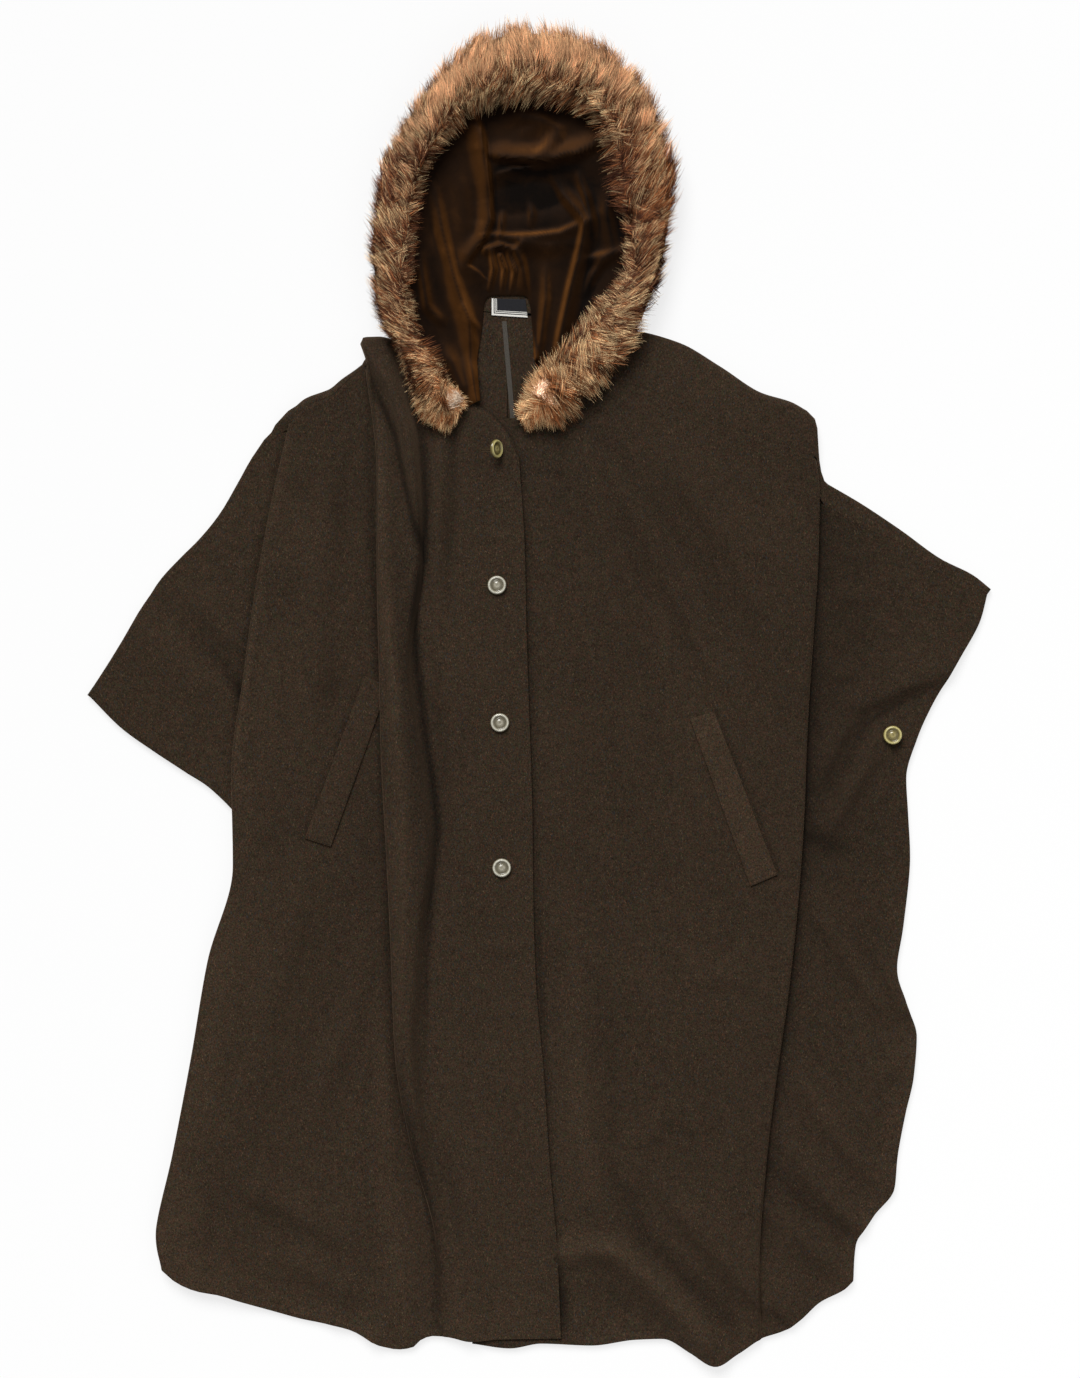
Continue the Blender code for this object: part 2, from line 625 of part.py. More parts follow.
def hood_half(name, first, last, columns, shift):
    bend = (HOOD_HEIGHT - FLOOR_LAYER) / 2
    rows = []
    for share in (0.02, 0.5, 1.0):
        rows.append([])
        for k in range(columns + 1):
            station = mix(first, last, k / columns)
            edge = across_fur(station, HOOD_EDGE)
            inwards = (HOOD_NECK - edge).normalized()
            foot = edge + inwards * bend
            spot = HOOD_NECK + (foot - HOOD_NECK) * share
            rows[-1].append((spot.x, spot.y, FLOOR_LAYER))
    steps = 5
    for step in range(1, steps + 1):
        angle = math.pi * step / steps
        rows.append([])
        for k in range(columns + 1):
            station = mix(first, last, k / columns)
            edge = across_fur(station, HOOD_EDGE)
            inwards = (HOOD_NECK - edge).normalized()
            spot = edge + inwards * bend * (1 - math.sin(angle))
            rows[-1].append((spot.x, spot.y, FLOOR_LAYER + bend * (1 - math.cos(angle))))
    rows.append([])
    for k in range(columns + 1):
        spot = across_fur(mix(first, last, k / columns), HOOD_RIM)
        rows[-1].append((spot.x, spot.y, HOOD_HEIGHT))
    moved = [[(x + shift, y, z) for x, y, z in row] for row in rows]
    return cloth(name, moved, WOOL, wool)


hood_right = hood_half("hood_right", HOOD_FIRST, HOOD_MIDDLE, 14, -SEAM_GAP)
hood_left = hood_half("hood_left", HOOD_MIDDLE, HOOD_LAST, 16, SEAM_GAP)

# Velvet lining of the hood, from under the fur down to the neck, in soft folds
LINING = {
    "down": (0, 2, 4, 6, 8, 10, 13, 16, 19, 21, 23, 25, 27, 28.6),
    "x": (-62, -64, -65, -60, -57, -52, -43, -30, -20, -14, -10, -8, -6, -5),
    "y": (307, 331, 350, 382, 410, 417, 418, 418, 418, 417, 410, 395, 372, 352),
    "under_fur": (0.7, 0.7, 0.7, 0.635, 0.635, 0.635, 0.635, 0.635, 0.635, 0.635, 0.635, 0.635, 0.7, 0.7),
    "low": (10.3, 8.8, 5.5, 3.4, 3.4, 3.4, 3.4, 3.4, 3.4, 3.4, 3.4, 3.4, 3.4, 3.4),
    "high": (10.3, 9.4, 10.5, 13.2, 13.2, 13.2, 13.2, 13.2, 13.2, 13.2, 13.2, 13.2, 8.8, 7),
}
LINING_FOLDS = (
    (-60, 592, -52, 490, 9, 8.0),
    (-52, 490, -76, 452, 9, 7.0),
    (-50, 560, 60, 566, 8, 7.0),
    (-115, 505, -88, 400, 10, 7.0),
    (-88, 400, -62, 310, 9, 6.0),
    (17, 538, 46, 495, 9, 8.0),
    (46, 495, 20, 375, 9, 8.0),
    (-17, 470, -6, 356, 8, 7.0),
    (-46, 482, 32, 486, 8, 5.0),
    (-46, 440, 0, 445, 7, 4.0),
)
LINING_COLUMNS = 44
LINING_ROWS = 11


def lining_rows():
    rows = []
    last = LINING["down"][-1]
    for r in range(LINING_ROWS + 1):
        share = r / LINING_ROWS
        row = []
        for k in range(LINING_COLUMNS + 1):
            station = last * k / LINING_COLUMNS
            inner = Vector((at(LINING, "x", station), at(LINING, "y", station)))
            outer = across_fur(station, at(LINING, "under_fur", station))
            spot = inner + (outer - inner) * share
            z = mix(at(LINING, "low", station), at(LINING, "high", station), share ** 1.4)
            fade = ease(min(share, 1 - share) * 6 + 0.15)
            z += raised_lines(LINING_FOLDS, spot.x, spot.y) * fade
            row.append((spot.x, spot.y, z))
        rows.append(row)
    return rows


hood_lining = cloth("hood_lining", lining_rows(), VELVET, velvet)


def slab_on(name, corners, thickness, gap, material, carrier, across=2, along=8, start=30.0, low_start=None):
    """A thin slab laid on a carrier's upper surface. The corners run round it in plan."""
    bpy.context.view_layer.update()
    graph = bpy.context.evaluated_depsgraph_get()
    tree = BVHTree.FromObject(carrier, graph)
    first, second, third, fourth = (Vector(corner) for corner in corners)
    rows = []
    for r in range(along + 1):
        row = []
        for c in range(across + 1):
            left = first.lerp(fourth, r / along)
            right = second.lerp(third, r / along)
            spot = left.lerp(right, c / across)
            high = start if low_start is None or spot.x < low_start[0] else low_start[1]
            hit = tree.ray_cast(Vector((spot.x, spot.y, high)) * MM, Vector((0, 0, -1)))
            row.append((spot.x, spot.y, hit[0].z / MM + gap + thickness / 2))
        rows.append(row)
    return cloth(name, rows, thickness, material)


# Pocket welts, sewn on the fronts. The right one runs under the standing strip, so its rays start below it.
UNDER_STRIP = (-171, 8.4)
slab_on("welt_left", ((158, -26), (183, -18), (249, -189), (221, -201)), 2.0, 0.5, wool, front_left)
slab_on("welt_right", ((-183, 19), (-158, 8), (-218, -160), (-245, -151)), 1.6, 0.5, wool, front_right,
        low_start=UNDER_STRIP)


def strip_of_cloth(name, corners, thickness, height, material):
    """A flat strip whose corners run round it in plan, with its underside at a height."""
    first, second, third, fourth = (Vector(corner) for corner in corners)
    rows = [[(*left.lerp(right, share), height + thickness / 2) for share in (0, 1)]
            for left, right in ((first, second), (fourth, third))]
    return cloth(name, rows, thickness, material)


# Tape on the centre back seam and a bordered label at the neck, both without text
TAPE_HEIGHT = WOOL + 0.25
strip_of_cloth("back_seam_tape", ((-39, 391), (-34, 391), (-24, 275), (-29, 275)), 0.4, TAPE_HEIGHT, tape_cloth)
strip_of_cloth("neck_label", ((-50, 415), (-14, 414), (-12, 394.5), (-50, 397)), 0.8, TAPE_HEIGHT + 0.6,
               label_cloth)


def button_object(name, centre, carrier, tilt=0.0):
    """A turned button with a raised rim, a sunk ring and a flat back."""
    radius = BUTTON_DIAMETER / 2
    profile = (
        (0.0, BUTTON_DOME * 0.78), (radius * 0.34, BUTTON_DOME * 0.78), (radius * 0.42, BUTTON_DOME * 0.60),
        (radius * 0.62, BUTTON_DOME * 0.66), (radius * 0.80, BUTTON_DOME), (radius * 0.93, BUTTON_DOME * 0.86),
        (radius, BUTTON_DOME * 0.45), (radius * 0.86, 0.0), (0.0, 0.0))
    mesh = bpy.data.meshes.new(name)
    bm = bmesh.new()
    verts = [bm.verts.new((r * MM, 0.0, z * MM)) for r, z in profile]
    edges = [bm.edges.new(pair) for pair in zip(verts, verts[1:])]
    bmesh.ops.spin(bm, geom=verts + edges, axis=(0, 0, 1), cent=(0, 0, 0), angle=2 * math.pi, steps=16,
                   use_merge=True)
    bmesh.ops.remove_doubles(bm, verts=bm.verts, dist=0.01 * MM)
    bmesh.ops.recalc_face_normals(bm, faces=bm.faces)
    for face in bm.faces:
        face.smooth = True
    bm.to_mesh(mesh)
    bm.free()
    mesh.materials.append(pearl)
    piece = bpy.data.objects.new(name, mesh)
    coat.objects.link(piece)
    bpy.context.view_layer.update()
    tree = BVHTree.FromObject(carrier, bpy.context.evaluated_depsgraph_get())
    turn = Matrix.Rotation(math.radians(tilt), 4, "Y")
    place = Matrix.Translation(Vector((centre[0], centre[1], 0)) * MM)
    lowest = min((turn @ vert.co).z for vert in mesh.vertices)
    seat = 0.0
    for step in range(16):
        angle = 2 * math.pi * step / 16
        spot = Vector((centre[0] + radius * math.cos(angle), centre[1] + radius * math.sin(angle), 60)) * MM
        hit = tree.ray_cast(spot, Vector((0, 0, -1)))
        seat = max(seat, hit[0].z)
    piece.matrix_world = Matrix.Translation((0, 0, seat - lowest + 0.3 * MM)) @ place @ turn
    return piece


BUTTONS = (
    ("button_1", (-46, 256), front_right, 55.0),
    ("button_2", (-44, 114), front_right, 0.0),
    ("button_3", (-41, -30), front_right, 0.0),
    ("button_4", (-39, -182), front_right, 0.0),
    ("button_side", (370, -43), front_left, 0.0),
)
for button_name, button_centre, button_carrier, button_tilt in BUTTONS:
    button_object(button_name, button_centre, button_carrier, button_tilt)
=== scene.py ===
import math

import bmesh
import bpy
import numpy as np
from mathutils import Matrix, Vector
from mathutils.bvhtree import BVHTree


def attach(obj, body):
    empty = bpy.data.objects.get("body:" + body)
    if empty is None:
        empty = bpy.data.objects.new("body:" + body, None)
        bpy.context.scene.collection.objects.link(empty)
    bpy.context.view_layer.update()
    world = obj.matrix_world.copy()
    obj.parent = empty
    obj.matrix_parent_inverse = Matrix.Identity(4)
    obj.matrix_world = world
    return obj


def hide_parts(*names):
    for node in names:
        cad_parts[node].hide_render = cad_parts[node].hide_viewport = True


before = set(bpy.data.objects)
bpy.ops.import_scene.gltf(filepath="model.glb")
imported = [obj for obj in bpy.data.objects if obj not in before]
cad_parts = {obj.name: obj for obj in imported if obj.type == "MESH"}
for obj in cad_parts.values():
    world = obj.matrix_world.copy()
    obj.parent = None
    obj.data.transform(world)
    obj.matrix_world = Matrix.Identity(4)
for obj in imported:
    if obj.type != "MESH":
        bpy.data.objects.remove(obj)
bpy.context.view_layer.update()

# The place the coat lies in
# A plain white floor under soft studio light that comes mostly from above the head end,
# with the camera straight above, as for a cut-out picture of a garment.
MM = 0.001
PIXEL = 1.05
PHOTO_MIDDLE = (539.0, 694.0)
PICTURE_CENTRE = (540, 689)
PICTURE_HEIGHT = 1378
LENS = 85.0
SENSOR = 36.0
FLOOR_REACH = 12.0
FLOOR_DROP = 0.0006


def spot(across, down):
    """A place on the coat in millimetres, from pixels across and down the photograph."""
    return (across - PHOTO_MIDDLE[0]) * PIXEL, (PHOTO_MIDDLE[1] - down) * PIXEL


def new_finish(name, **constants):
    """A new material, its node tree and its shader, with constants on the shader by socket name."""
    material = bpy.data.materials.new(name)
    material.use_nodes = True
    shader = material.node_tree.nodes["Principled BSDF"]
    for socket, value in constants.items():
        shader.inputs[socket.replace("_", " ")].default_value = value
    return material, material.node_tree, shader


def made_piece(name, bm, material, smooth=True):
    """The bmesh as a mesh object in the scene."""
    for face in bm.faces:
        face.smooth = smooth
    mesh = bpy.data.meshes.new(name)
    bm.to_mesh(mesh)
    bm.free()
    mesh.materials.append(material)
    piece = bpy.data.objects.new(name, mesh)
    bpy.context.scene.collection.objects.link(piece)
    return piece


bm = bmesh.new()
bmesh.ops.create_grid(bm, x_segments=1, y_segments=1, size=FLOOR_REACH)
bmesh.ops.translate(bm, vec=(0, 0, -FLOOR_DROP), verts=bm.verts)
paper = new_finish(
    "floor_paper", Base_Color=(0.22, 0.22, 0.22, 1), Emission_Color=(1, 1, 1, 1), Emission_Strength=0.76,
    Roughness=1.0, Specular_IOR_Level=0.0)[0]
floor = made_piece("floor", bm, paper, smooth=False)

camera_data = bpy.data.cameras.new("camera")
camera_data.lens = LENS
camera_data.sensor_width = SENSOR
camera = bpy.data.objects.new("camera", camera_data)
camera.location = Vector((*spot(*PICTURE_CENTRE), PICTURE_HEIGHT * PIXEL * LENS / SENSOR)) * MM
bpy.context.scene.collection.objects.link(camera)
bpy.context.scene.camera = camera

# Name, kind, place in metres, size as metres or as an angle for the sun, and power
LIGHTS = (
    ("key", "SUN", (-0.50, 1.7, 1.85), 0.60, 3.15),
    ("fill", "AREA", (1.9, -0.3, 2.3), 2.4, 12.0),
    ("low", "AREA", (0.0, -2.4, 1.5), 2.0, 6.0),
)
for light_name, kind, place, size, power in LIGHTS:
    light_data = bpy.data.lights.new(light_name, kind)
    setattr(light_data, "angle" if kind == "SUN" else "size", size)
    light_data.energy = power
    light = bpy.data.objects.new(light_name, light_data)
    light.location = place
    light.rotation_mode = "QUATERNION"
    light.rotation_quaternion = (-Vector(place)).to_track_quat("-Z", "Y")
    bpy.context.scene.collection.objects.link(light)
world = bpy.data.worlds.new("studio")
world.use_nodes = True
background = world.node_tree.nodes["Background"]
background.inputs["Color"].default_value = (1, 1, 1, 1)
background.inputs["Strength"].default_value = 0.20
bpy.context.scene.world = world
bpy.context.scene.view_settings.view_transform = "Standard"

# The wearer's left front, cut from wool coating
# It is one wide panel with a deep pleat beside the sleeve opening, which closes towards the hem.
# The closing edge lies under the other front. The edges are turned in and pressed.
WOOL = 2.4
SEAM_LAP = 0.3
FLOOR_LAYER = WOOL / 2
FRONT_LAYER = 4.8
PLACKET_LAYER = 8.0
PLEAT_BEND = 2.2
BEND_STEPS = 8
HIDDEN_RUNS = 5
RELIEF = 2.4
LOWEST_FRONT = 3.8
SOFT_STOP = 0.8
TOP_HOLD = 3.0
HEM_HOLD = 7.0
EDGE_ANGLE = 55


def smooth_value(places, values, place):
    """Value of a smooth curve through a column, without overshoot, and flat beyond its ends."""
    if place <= places[0]:
        return values[0]
    if place >= places[-1]:
        return values[-1]
    spans = [b - a for a, b in zip(places, places[1:])]
    steps = [(b - a) / span for a, b, span in zip(values, values[1:], spans)]
    slopes = [steps[0]]
    for before, after in zip(steps, steps[1:]):
        slopes.append(2 * before * after / (before + after) if before * after > 0 else 0.0)
    slopes.append(steps[-1])
    for i, span in enumerate(spans):
        if place <= places[i + 1]:
            t = (place - places[i]) / span
            return (values[i] * (2 * t ** 3 - 3 * t ** 2 + 1) + values[i + 1] * (3 * t ** 2 - 2 * t ** 3)
                    + slopes[i] * span * (t ** 3 - 2 * t ** 2 + t) + slopes[i + 1] * span * (t ** 3 - t ** 2))


def at(table, column, down):
    return smooth_value(table["down"], table[column], down)


def place_at(table, down):
    return at(table, "x", down), at(table, "y", down)


def on_line(line, x):
    """Height Y of an edge line at x. The line is a tuple of (x, y) points in either direction."""
    points = sorted(line)
    return smooth_value([p[0] for p in points], [p[1] for p in points], x)


def ease(value):
    value = max(0.0, min(1.0, value))
    return value * value * (3 - 2 * value)


def mix(a, b, share):
    return a + (b - a) * share


def crease_lift(creases, places):
    """Lift of ridges and troughs at places, an array of (x, y) in millimetres.

    A crease is its line of (x, y, height) points, and its half widths to the left and right of its run.
    """
    lift = np.zeros(len(places))
    for line, left, right in creases:
        nearest = np.full(len(places), 1e9)
        height = np.zeros(len(places))
        side = np.zeros(len(places))
        for one, two in zip(line, line[1:]):
            start = np.array(one[:2])
            run = np.array(two[:2]) - start
            away = places - start
            share = np.clip(away @ run / (run @ run), 0, 1)
            gap = away - share[:, None] * run
            distance = np.hypot(gap[:, 0], gap[:, 1])
            closer = distance < nearest
            nearest[closer] = distance[closer]
            height[closer] = (one[2] + (two[2] - one[2]) * share)[closer]
            side[closer] = (run[0] * away[:, 1] - run[1] * away[:, 0])[closer]
        width = np.where(side > 0, left, right)
        lift += height * np.exp(-(nearest / width) ** 2)
    return lift


def photo_creases(creases):
    """Creases given by pixels of the photograph, as creases in millimetres."""
    return tuple(
        (tuple((*spot(across, down), height) for across, down, height in line), left, right)
        for line, left, right in creases)


def painted_shade_tones(rows, painted_tones, level=0.0):
    """Painted shade and highlight at each point, darker or lighter, from soft lines placed on the runs of
    cloth.
    """
    places = np.array([[point[:2] for point in row] for row in rows])
    values = np.full(places.shape[:2], level)
    for run, lines in painted_tones.items():
        inside = np.array([[point[3] == run for point in row] for row in rows])
        values[inside] = level + crease_lift(photo_creases(lines), places[inside])
    return values


def covers(piece, replaced):
    """The frame's calls for a piece that shows in place of a solid."""
    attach(piece, "root")
    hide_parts(replaced)


def cloth_shell(name, rows, thickness, material, replaced, edge=0.8, painted_tones=None):
    """A wall of cloth with rounded edges on the grid of middle points given by rows, in millimetres."""
    across = len(rows[0]) - 1
    down = len(rows) - 1
    bm = bmesh.new()
    bm.loops.layers.uv.new("cloth_map")
    bmesh.ops.create_grid(bm, x_segments=across, y_segments=down, size=1.0, calc_uvs=True)
    # Each point's painted shade or highlight, which darkens or lightens the wool's colour
    painted_shade_layer = bm.verts.layers.float.new("painted_fold_shade")
    for vert in bm.verts:
        column = round((vert.co.x + 1) / 2 * across)
        row = round((1 - vert.co.y) / 2 * down)
        vert.co = Vector(rows[row][column]) * MM
        if painted_tones is not None:
            vert[painted_shade_layer] = painted_tones[row][column]
    piece = made_piece(name, bm, material)
    wall = piece.modifiers.new("wall", "SOLIDIFY")
    wall.thickness = thickness * MM
    wall.offset = 0.0
    wall.use_even_offset = False
    rounded = piece.modifiers.new("rounded_edge", "BEVEL")
    rounded.width = edge * MM
    rounded.segments = 2
    rounded.limit_method = "ANGLE"
    rounded.angle_limit = math.radians(EDGE_ANGLE)
    covers(piece, replaced)
    return piece


def turned_under(x, z, heading, turn, straight, bend):
    """Points (x, z) of cloth that turns under, runs back and turns flat again, as a pleat does."""
    angle = math.radians(turn)
    points = []
    for k in range(1, BEND_STEPS + 1):
        part = angle * k / BEND_STEPS
        points.append((x + heading * bend * math.sin(part), z - bend * (1 - math.cos(part))))
    x, z = points[-1]
    for k in range(1, HIDDEN_RUNS + 1):
        gone = straight * k / HIDDEN_RUNS
        points.append((x + heading * gone * math.cos(angle), z - gone * math.sin(angle)))
    x, z = points[-1]
    for k in range(1, BEND_STEPS + 1):
        part = angle * (1 - k / BEND_STEPS)
        points.append((x + heading * bend * (math.sin(angle) - math.sin(part)),
                       z - bend * (math.cos(part) - math.cos(angle))))
    return points


def fall(turn, straight, bend):
    """How far down the cloth goes in turning under and flat again."""
    angle = math.radians(turn)
    return 2 * bend * (1 - math.cos(angle)) + straight * math.sin(angle)


def fitted_rows(row_of, count, top_of, hem_of):
    """Rows moved so that the first follows the top line and the last the hem, and the rest ease off."""
    rows = [row_of(k / count) for k in range(count + 1)]
    top_moves, hem_moves = (
        [(x - point[0], y - point[1]) for point, (x, y) in zip(row, [tuple(line_of(point)) for point in row])]
        for row, line_of in ((rows[0], top_of), (rows[-1], hem_of)))
    for k, row in enumerate(rows):
        down = k / count
        for point, top_move, hem_move in zip(row, top_moves, hem_moves):
            for axis in (0, 1):
                point[axis] += top_move[axis] * (1 - down) ** TOP_HOLD + hem_move[axis] * down ** HEM_HOLD
    return rows


def lifted(rows, creases, runs):
    """The rows with creases added to the named runs, and each point's run dropped.

    A trough fades out softly above the cloth that lies under it.
    """
    points = [point for row in rows for point in row]
    lifts = crease_lift(creases, np.array([point[:2] for point in points]))
    for point, lift in zip(points, lifts):
        if point[3] in runs:
            height = point[2] + RELIEF * lift
            spare = height - LOWEST_FRONT - SOFT_STOP
            point[2] = height if spare > 0 else LOWEST_FRONT + SOFT_STOP * math.exp(spare / SOFT_STOP)
    return [[point[:3] for point in row] for row in rows]


def node(tree, kind, **sockets):
    """A shader node whose inputs, by name or number, are given as values or as other nodes' outputs."""
    made = tree.nodes.new(kind)
    for key, value in sockets.items():
        if key.startswith("set_"):
            setattr(made, key[4:], value)
            continue
        place = made.inputs[int(key[1:])] if key[0] == "i" and key[1:].isdigit() else made.inputs[key]
        if isinstance(value, bpy.types.NodeSocket):
            tree.links.new(value, place)
        else:
            place.default_value = value
    return made


def node_group(name, inputs, outputs):
    """A node group with named sockets, given with their kinds. Returns it, and what it is given and gives."""
    group = bpy.data.node_groups.new(name, "ShaderNodeTree")
    for direction, sockets in (("INPUT", inputs), ("OUTPUT", outputs)):
        for socket, kind in sockets.items():
            group.interface.new_socket(socket, in_out=direction, socket_type="NodeSocket" + kind)
    return group, group.nodes.new("NodeGroupInput").outputs, group.nodes.new("NodeGroupOutput").inputs


def place_in(tree):
    return node(tree, "ShaderNodeTexCoord").outputs["Object"]


def noise(tree, place, scale, detail, **more):
    return node(tree, "ShaderNodeTexNoise", Vector=place, Scale=scale, Detail=detail, **more).outputs["Fac"]


def layer_value(tree, name):
    """The value of one of the mesh's own layers."""
    return node(tree, "ShaderNodeAttribute", set_attribute_name=name).outputs["Fac"]


def ranged(tree, value, low, high, new_low, new_high, **more):
    """A value taken from one range to another and held inside it."""
    made = node(tree, "ShaderNodeMapRange", Value=value, i1=low, i2=high, i3=new_low, i4=new_high, **more)
    return made.outputs[0]


def reckoned(tree, operation, *values):
    sockets = {f"i{k}": value for k, value in enumerate(values)}
    return node(tree, "ShaderNodeMath", set_operation=operation, **sockets).outputs[0]


def mixed(tree, share, one, two, way="MIX", **more):
    """Two colours mixed, or multiplied when the way says so."""
    made = node(tree, "ShaderNodeMix", set_data_type="RGBA", set_blend_type=way, i0=share, i6=one, i7=two,
                **more)
    return made.outputs[2]


def ramp(tree, value, *stops):
    """The colour at a value, from pairs of a stop and its colour."""
    made = node(tree, "ShaderNodeValToRGB", Fac=value)
    elements = made.color_ramp.elements
    elements[0].position = stops[0][0]
    elements[1].position = stops[-1][0]
    for stop, colour in stops[1:-1]:
        elements.new(stop)
    for element, (stop, colour) in zip(elements, stops):
        element.color = (*colour, 1)
    return made.outputs["Color"]


def bumped(tree, shader, height, strength, distance):
    bump = node(tree, "ShaderNodeBump", Height=height, Strength=strength, Distance=distance)
    tree.links.new(bump.outputs[0], shader.inputs["Normal"])


# The mixed yarn of the coating, each wool with its own drifting tone from the least to the most; the welts'
# higher range is painted sheen
melange, given, gives = node_group(
    "melange_yarn", {"Place": "Vector", "Tone": "Float", "Least": "Float", "Most": "Float"},
    {"Colour": "Color", "Height": "Float"})
drifting = noise(melange, given["Place"], 9.0, 3.0, Roughness=0.55)
uneven = noise(melange, given["Place"], 110.0, 5.0, Roughness=0.65)
felted = noise(melange, given["Place"], 560.0, 4.0, Roughness=0.75)
hued = noise(melange, given["Place"], 240.0, 3.0)
fibre_place = node(melange, "ShaderNodeMapping", Vector=given["Place"], Rotation=(0.0, 0.0, 0.5),
                   Scale=(1.0, 0.4, 1.0)).outputs[0]
fibres = noise(melange, fibre_place, 1700.0, 2.0, Distortion=0.8)
ground = ramp(melange, felted, (0.36, (0.0135, 0.0080, 0.0044)), (0.66, (0.0495, 0.0314, 0.0188)))
hue = ramp(melange, hued, (0.35, (0.92, 1.04, 0.97)), (0.65, (1.09, 0.96, 1.02)))
patchy = ranged(melange, uneven, 0.3, 0.7, 0.82, 1.18)
drift_and_painted_sheen = ranged(melange, drifting, 0.3, 0.7, given["Least"], given["Most"])
cloth_colour = mixed(melange, 1.0, mixed(melange, 1.0, ground, hue, "MULTIPLY"),
                     reckoned(melange, "MULTIPLY", patchy, drift_and_painted_sheen), "MULTIPLY")
# Coloured fibres in the yarn: colour, shift of their pattern, the noise they start at, and strength
FLECKS = (
    ((0.125, 0.082, 0.047, 1), (0.31, 0.12, 0.0), 0.66, 0.55),
    ((0.085, 0.030, 0.014, 1), (1.7, 0.4, 0.0), 0.64, 0.6),
    ((0.026, 0.034, 0.014, 1), (0.2, 2.3, 0.0), 0.62, 0.7),
    ((0.020, 0.026, 0.030, 1), (2.2, 1.3, 0.0), 0.63, 0.7),
)
FLECK_SOFTNESS = 0.05
for fleck_colour, shift, threshold, strength in FLECKS:
    moved = node(melange, "ShaderNodeMapping", Vector=fibre_place, Location=shift).outputs[0]
    mask = ranged(melange, noise(melange, moved, 950.0, 1.0), threshold, threshold + FLECK_SOFTNESS,
                  0.0, strength)
    cloth_colour = mixed(melange, mask, cloth_colour, fleck_colour)
# The Tone input darkens or lightens the colour as painted shade and highlight
painted_light_factor = reckoned(melange, "ADD", given["Tone"], 1.0)
melange.links.new(mixed(melange, 1.0, cloth_colour, painted_light_factor, "MULTIPLY"), gives["Colour"])
melange.links.new(reckoned(melange, "MULTIPLY_ADD", fibres, 0.6, felted), gives["Height"])


def wool_finish(name, least, most):
    material, tree, shader = new_finish(
        name, Roughness=0.95, Specular_IOR_Level=0.10, Sheen_Weight=0.22, Sheen_Roughness=0.45,
        Sheen_Tint=(0.55, 0.36, 0.22, 1))
    yarn = node(tree, "ShaderNodeGroup", set_node_tree=melange, Place=place_in(tree),
                Tone=layer_value(tree, "painted_fold_shade"), Least=least, Most=most)
    tree.links.new(yarn.outputs["Colour"], shader.inputs["Base Color"])
    bumped(tree, shader, yarn.outputs["Height"], 0.4, 0.0004)
    return material


wool = wool_finish("wool_coating", 0.90, 1.10)

LEFT_EDGE = {"down": (0, 0.5, 1), "x": (-68, -71, -70), "y": (277, -202, -681)}
LEFT_PLEAT = {
    "down": (0, 0.03, 0.1, 0.2, 0.3, 0.4, 0.5, 0.6, 0.7, 0.8, 0.9, 1),
    "x": (289, 292.5, 291.5, 286, 280, 276.5, 270, 260, 247, 236, 230, 231),
    "y": (248, 220, 154, 61, -33, -126, -219, -313, -406, -500, -589, -676),
    "straight": (60, 59, 56, 52, 48, 42, 36, 30, 22, 13, 4, 2),
    "turn": (180, 180, 180, 180, 180, 180, 180, 180, 180, 180, 150, 50),
}
LEFT_SIDE = {
    "down": (0, 0.05, 0.12, 0.2, 0.26, 0.32, 0.38, 0.44, 0.5, 0.55, 0.6, 0.65, 0.7, 0.75, 0.8, 0.85, 0.9,
             0.95, 1),
    "x": (470, 463, 439, 411, 396, 385, 387, 389, 382, 375, 384, 396, 393, 384, 376, 372, 350, 332, 329),
    "y": (105, 78, 34, -14, -48, -88, -127, -172, -243, -290, -323, -359, -400, -441, -484, -519, -548,
          -578, -614),
}
LEFT_NECK_AND_SHOULDER = (
    (-68, 277), (-41, 288), (-19, 290), (22, 307), (54, 326), (77, 338), (111, 321), (148, 301), (190, 282),
    (232, 267), (274, 252), (289, 248))
LEFT_SLEEVE_SEAM = (
    (220, 223), (264, 210), (300, 198), (337, 175), (374, 161), (405, 138), (442, 120), (470, 105))
LEFT_HEM = (
    (-70, -681), (-30, -686), (2, -681), (55, -683), (101, -677), (130, -676), (159, -690), (185, -703.3),
    (209, -691), (232, -676), (258, -667), (274, -656), (294, -638), (320, -624), (329, -615))
LEFT_RAMP = 95.0
RAMP_PAST_FOLD = 5
PLEAT_TOP_DROP = 27
UPPER_COLUMNS = 84
SIDE_COLUMNS = 46
LEFT_ROWS = 190


def left_front_row(down):
    """One row of middle points of the left front, from the underlap edge out to the side.

    The upper layer climbs onto its own pleat.
    """
    edge = place_at(LEFT_EDGE, down)
    pleat = place_at(LEFT_PLEAT, down)
    side = place_at(LEFT_SIDE, down)
    turn = at(LEFT_PLEAT, "turn", down)
    straight = at(LEFT_PLEAT, "straight", down)
    rise = fall(turn, straight, PLEAT_BEND)
    start = pleat[0] - PLEAT_BEND
    ramp_start = start - straight - RAMP_PAST_FOLD - LEFT_RAMP
    row = []
    for k in range(UPPER_COLUMNS + 1):
        share = k / UPPER_COLUMNS
        x = mix(edge[0], start, share)
        height = FRONT_LAYER + rise * ease((x - ramp_start) / LEFT_RAMP)
        row.append([x, mix(edge[1], pleat[1], share), height, "upper"])
    folded = turned_under(start, row[-1][2], 1, turn, straight, PLEAT_BEND)
    drop = PLEAT_TOP_DROP * (1 - down) ** 2
    for k, (x, z) in enumerate(folded):
        row.append([x, pleat[1] - drop * (k + 1) / len(folded), z, "pleat"])
    inner = row[-1]
    for k in range(1, SIDE_COLUMNS + 1):
        share = k / SIDE_COLUMNS
        row.append([mix(inner[0], side[0], share), mix(inner[1], side[1], share), inner[2], "side"])
    return row


def left_front_top(point):
    x, y, z, run = point
    if run == "pleat":
        return x, y
    return x, on_line(LEFT_NECK_AND_SHOULDER if run == "upper" else LEFT_SLEEVE_SEAM, x)


def left_front_hem(point):
    return point[0], on_line(LEFT_HEM, point[0])


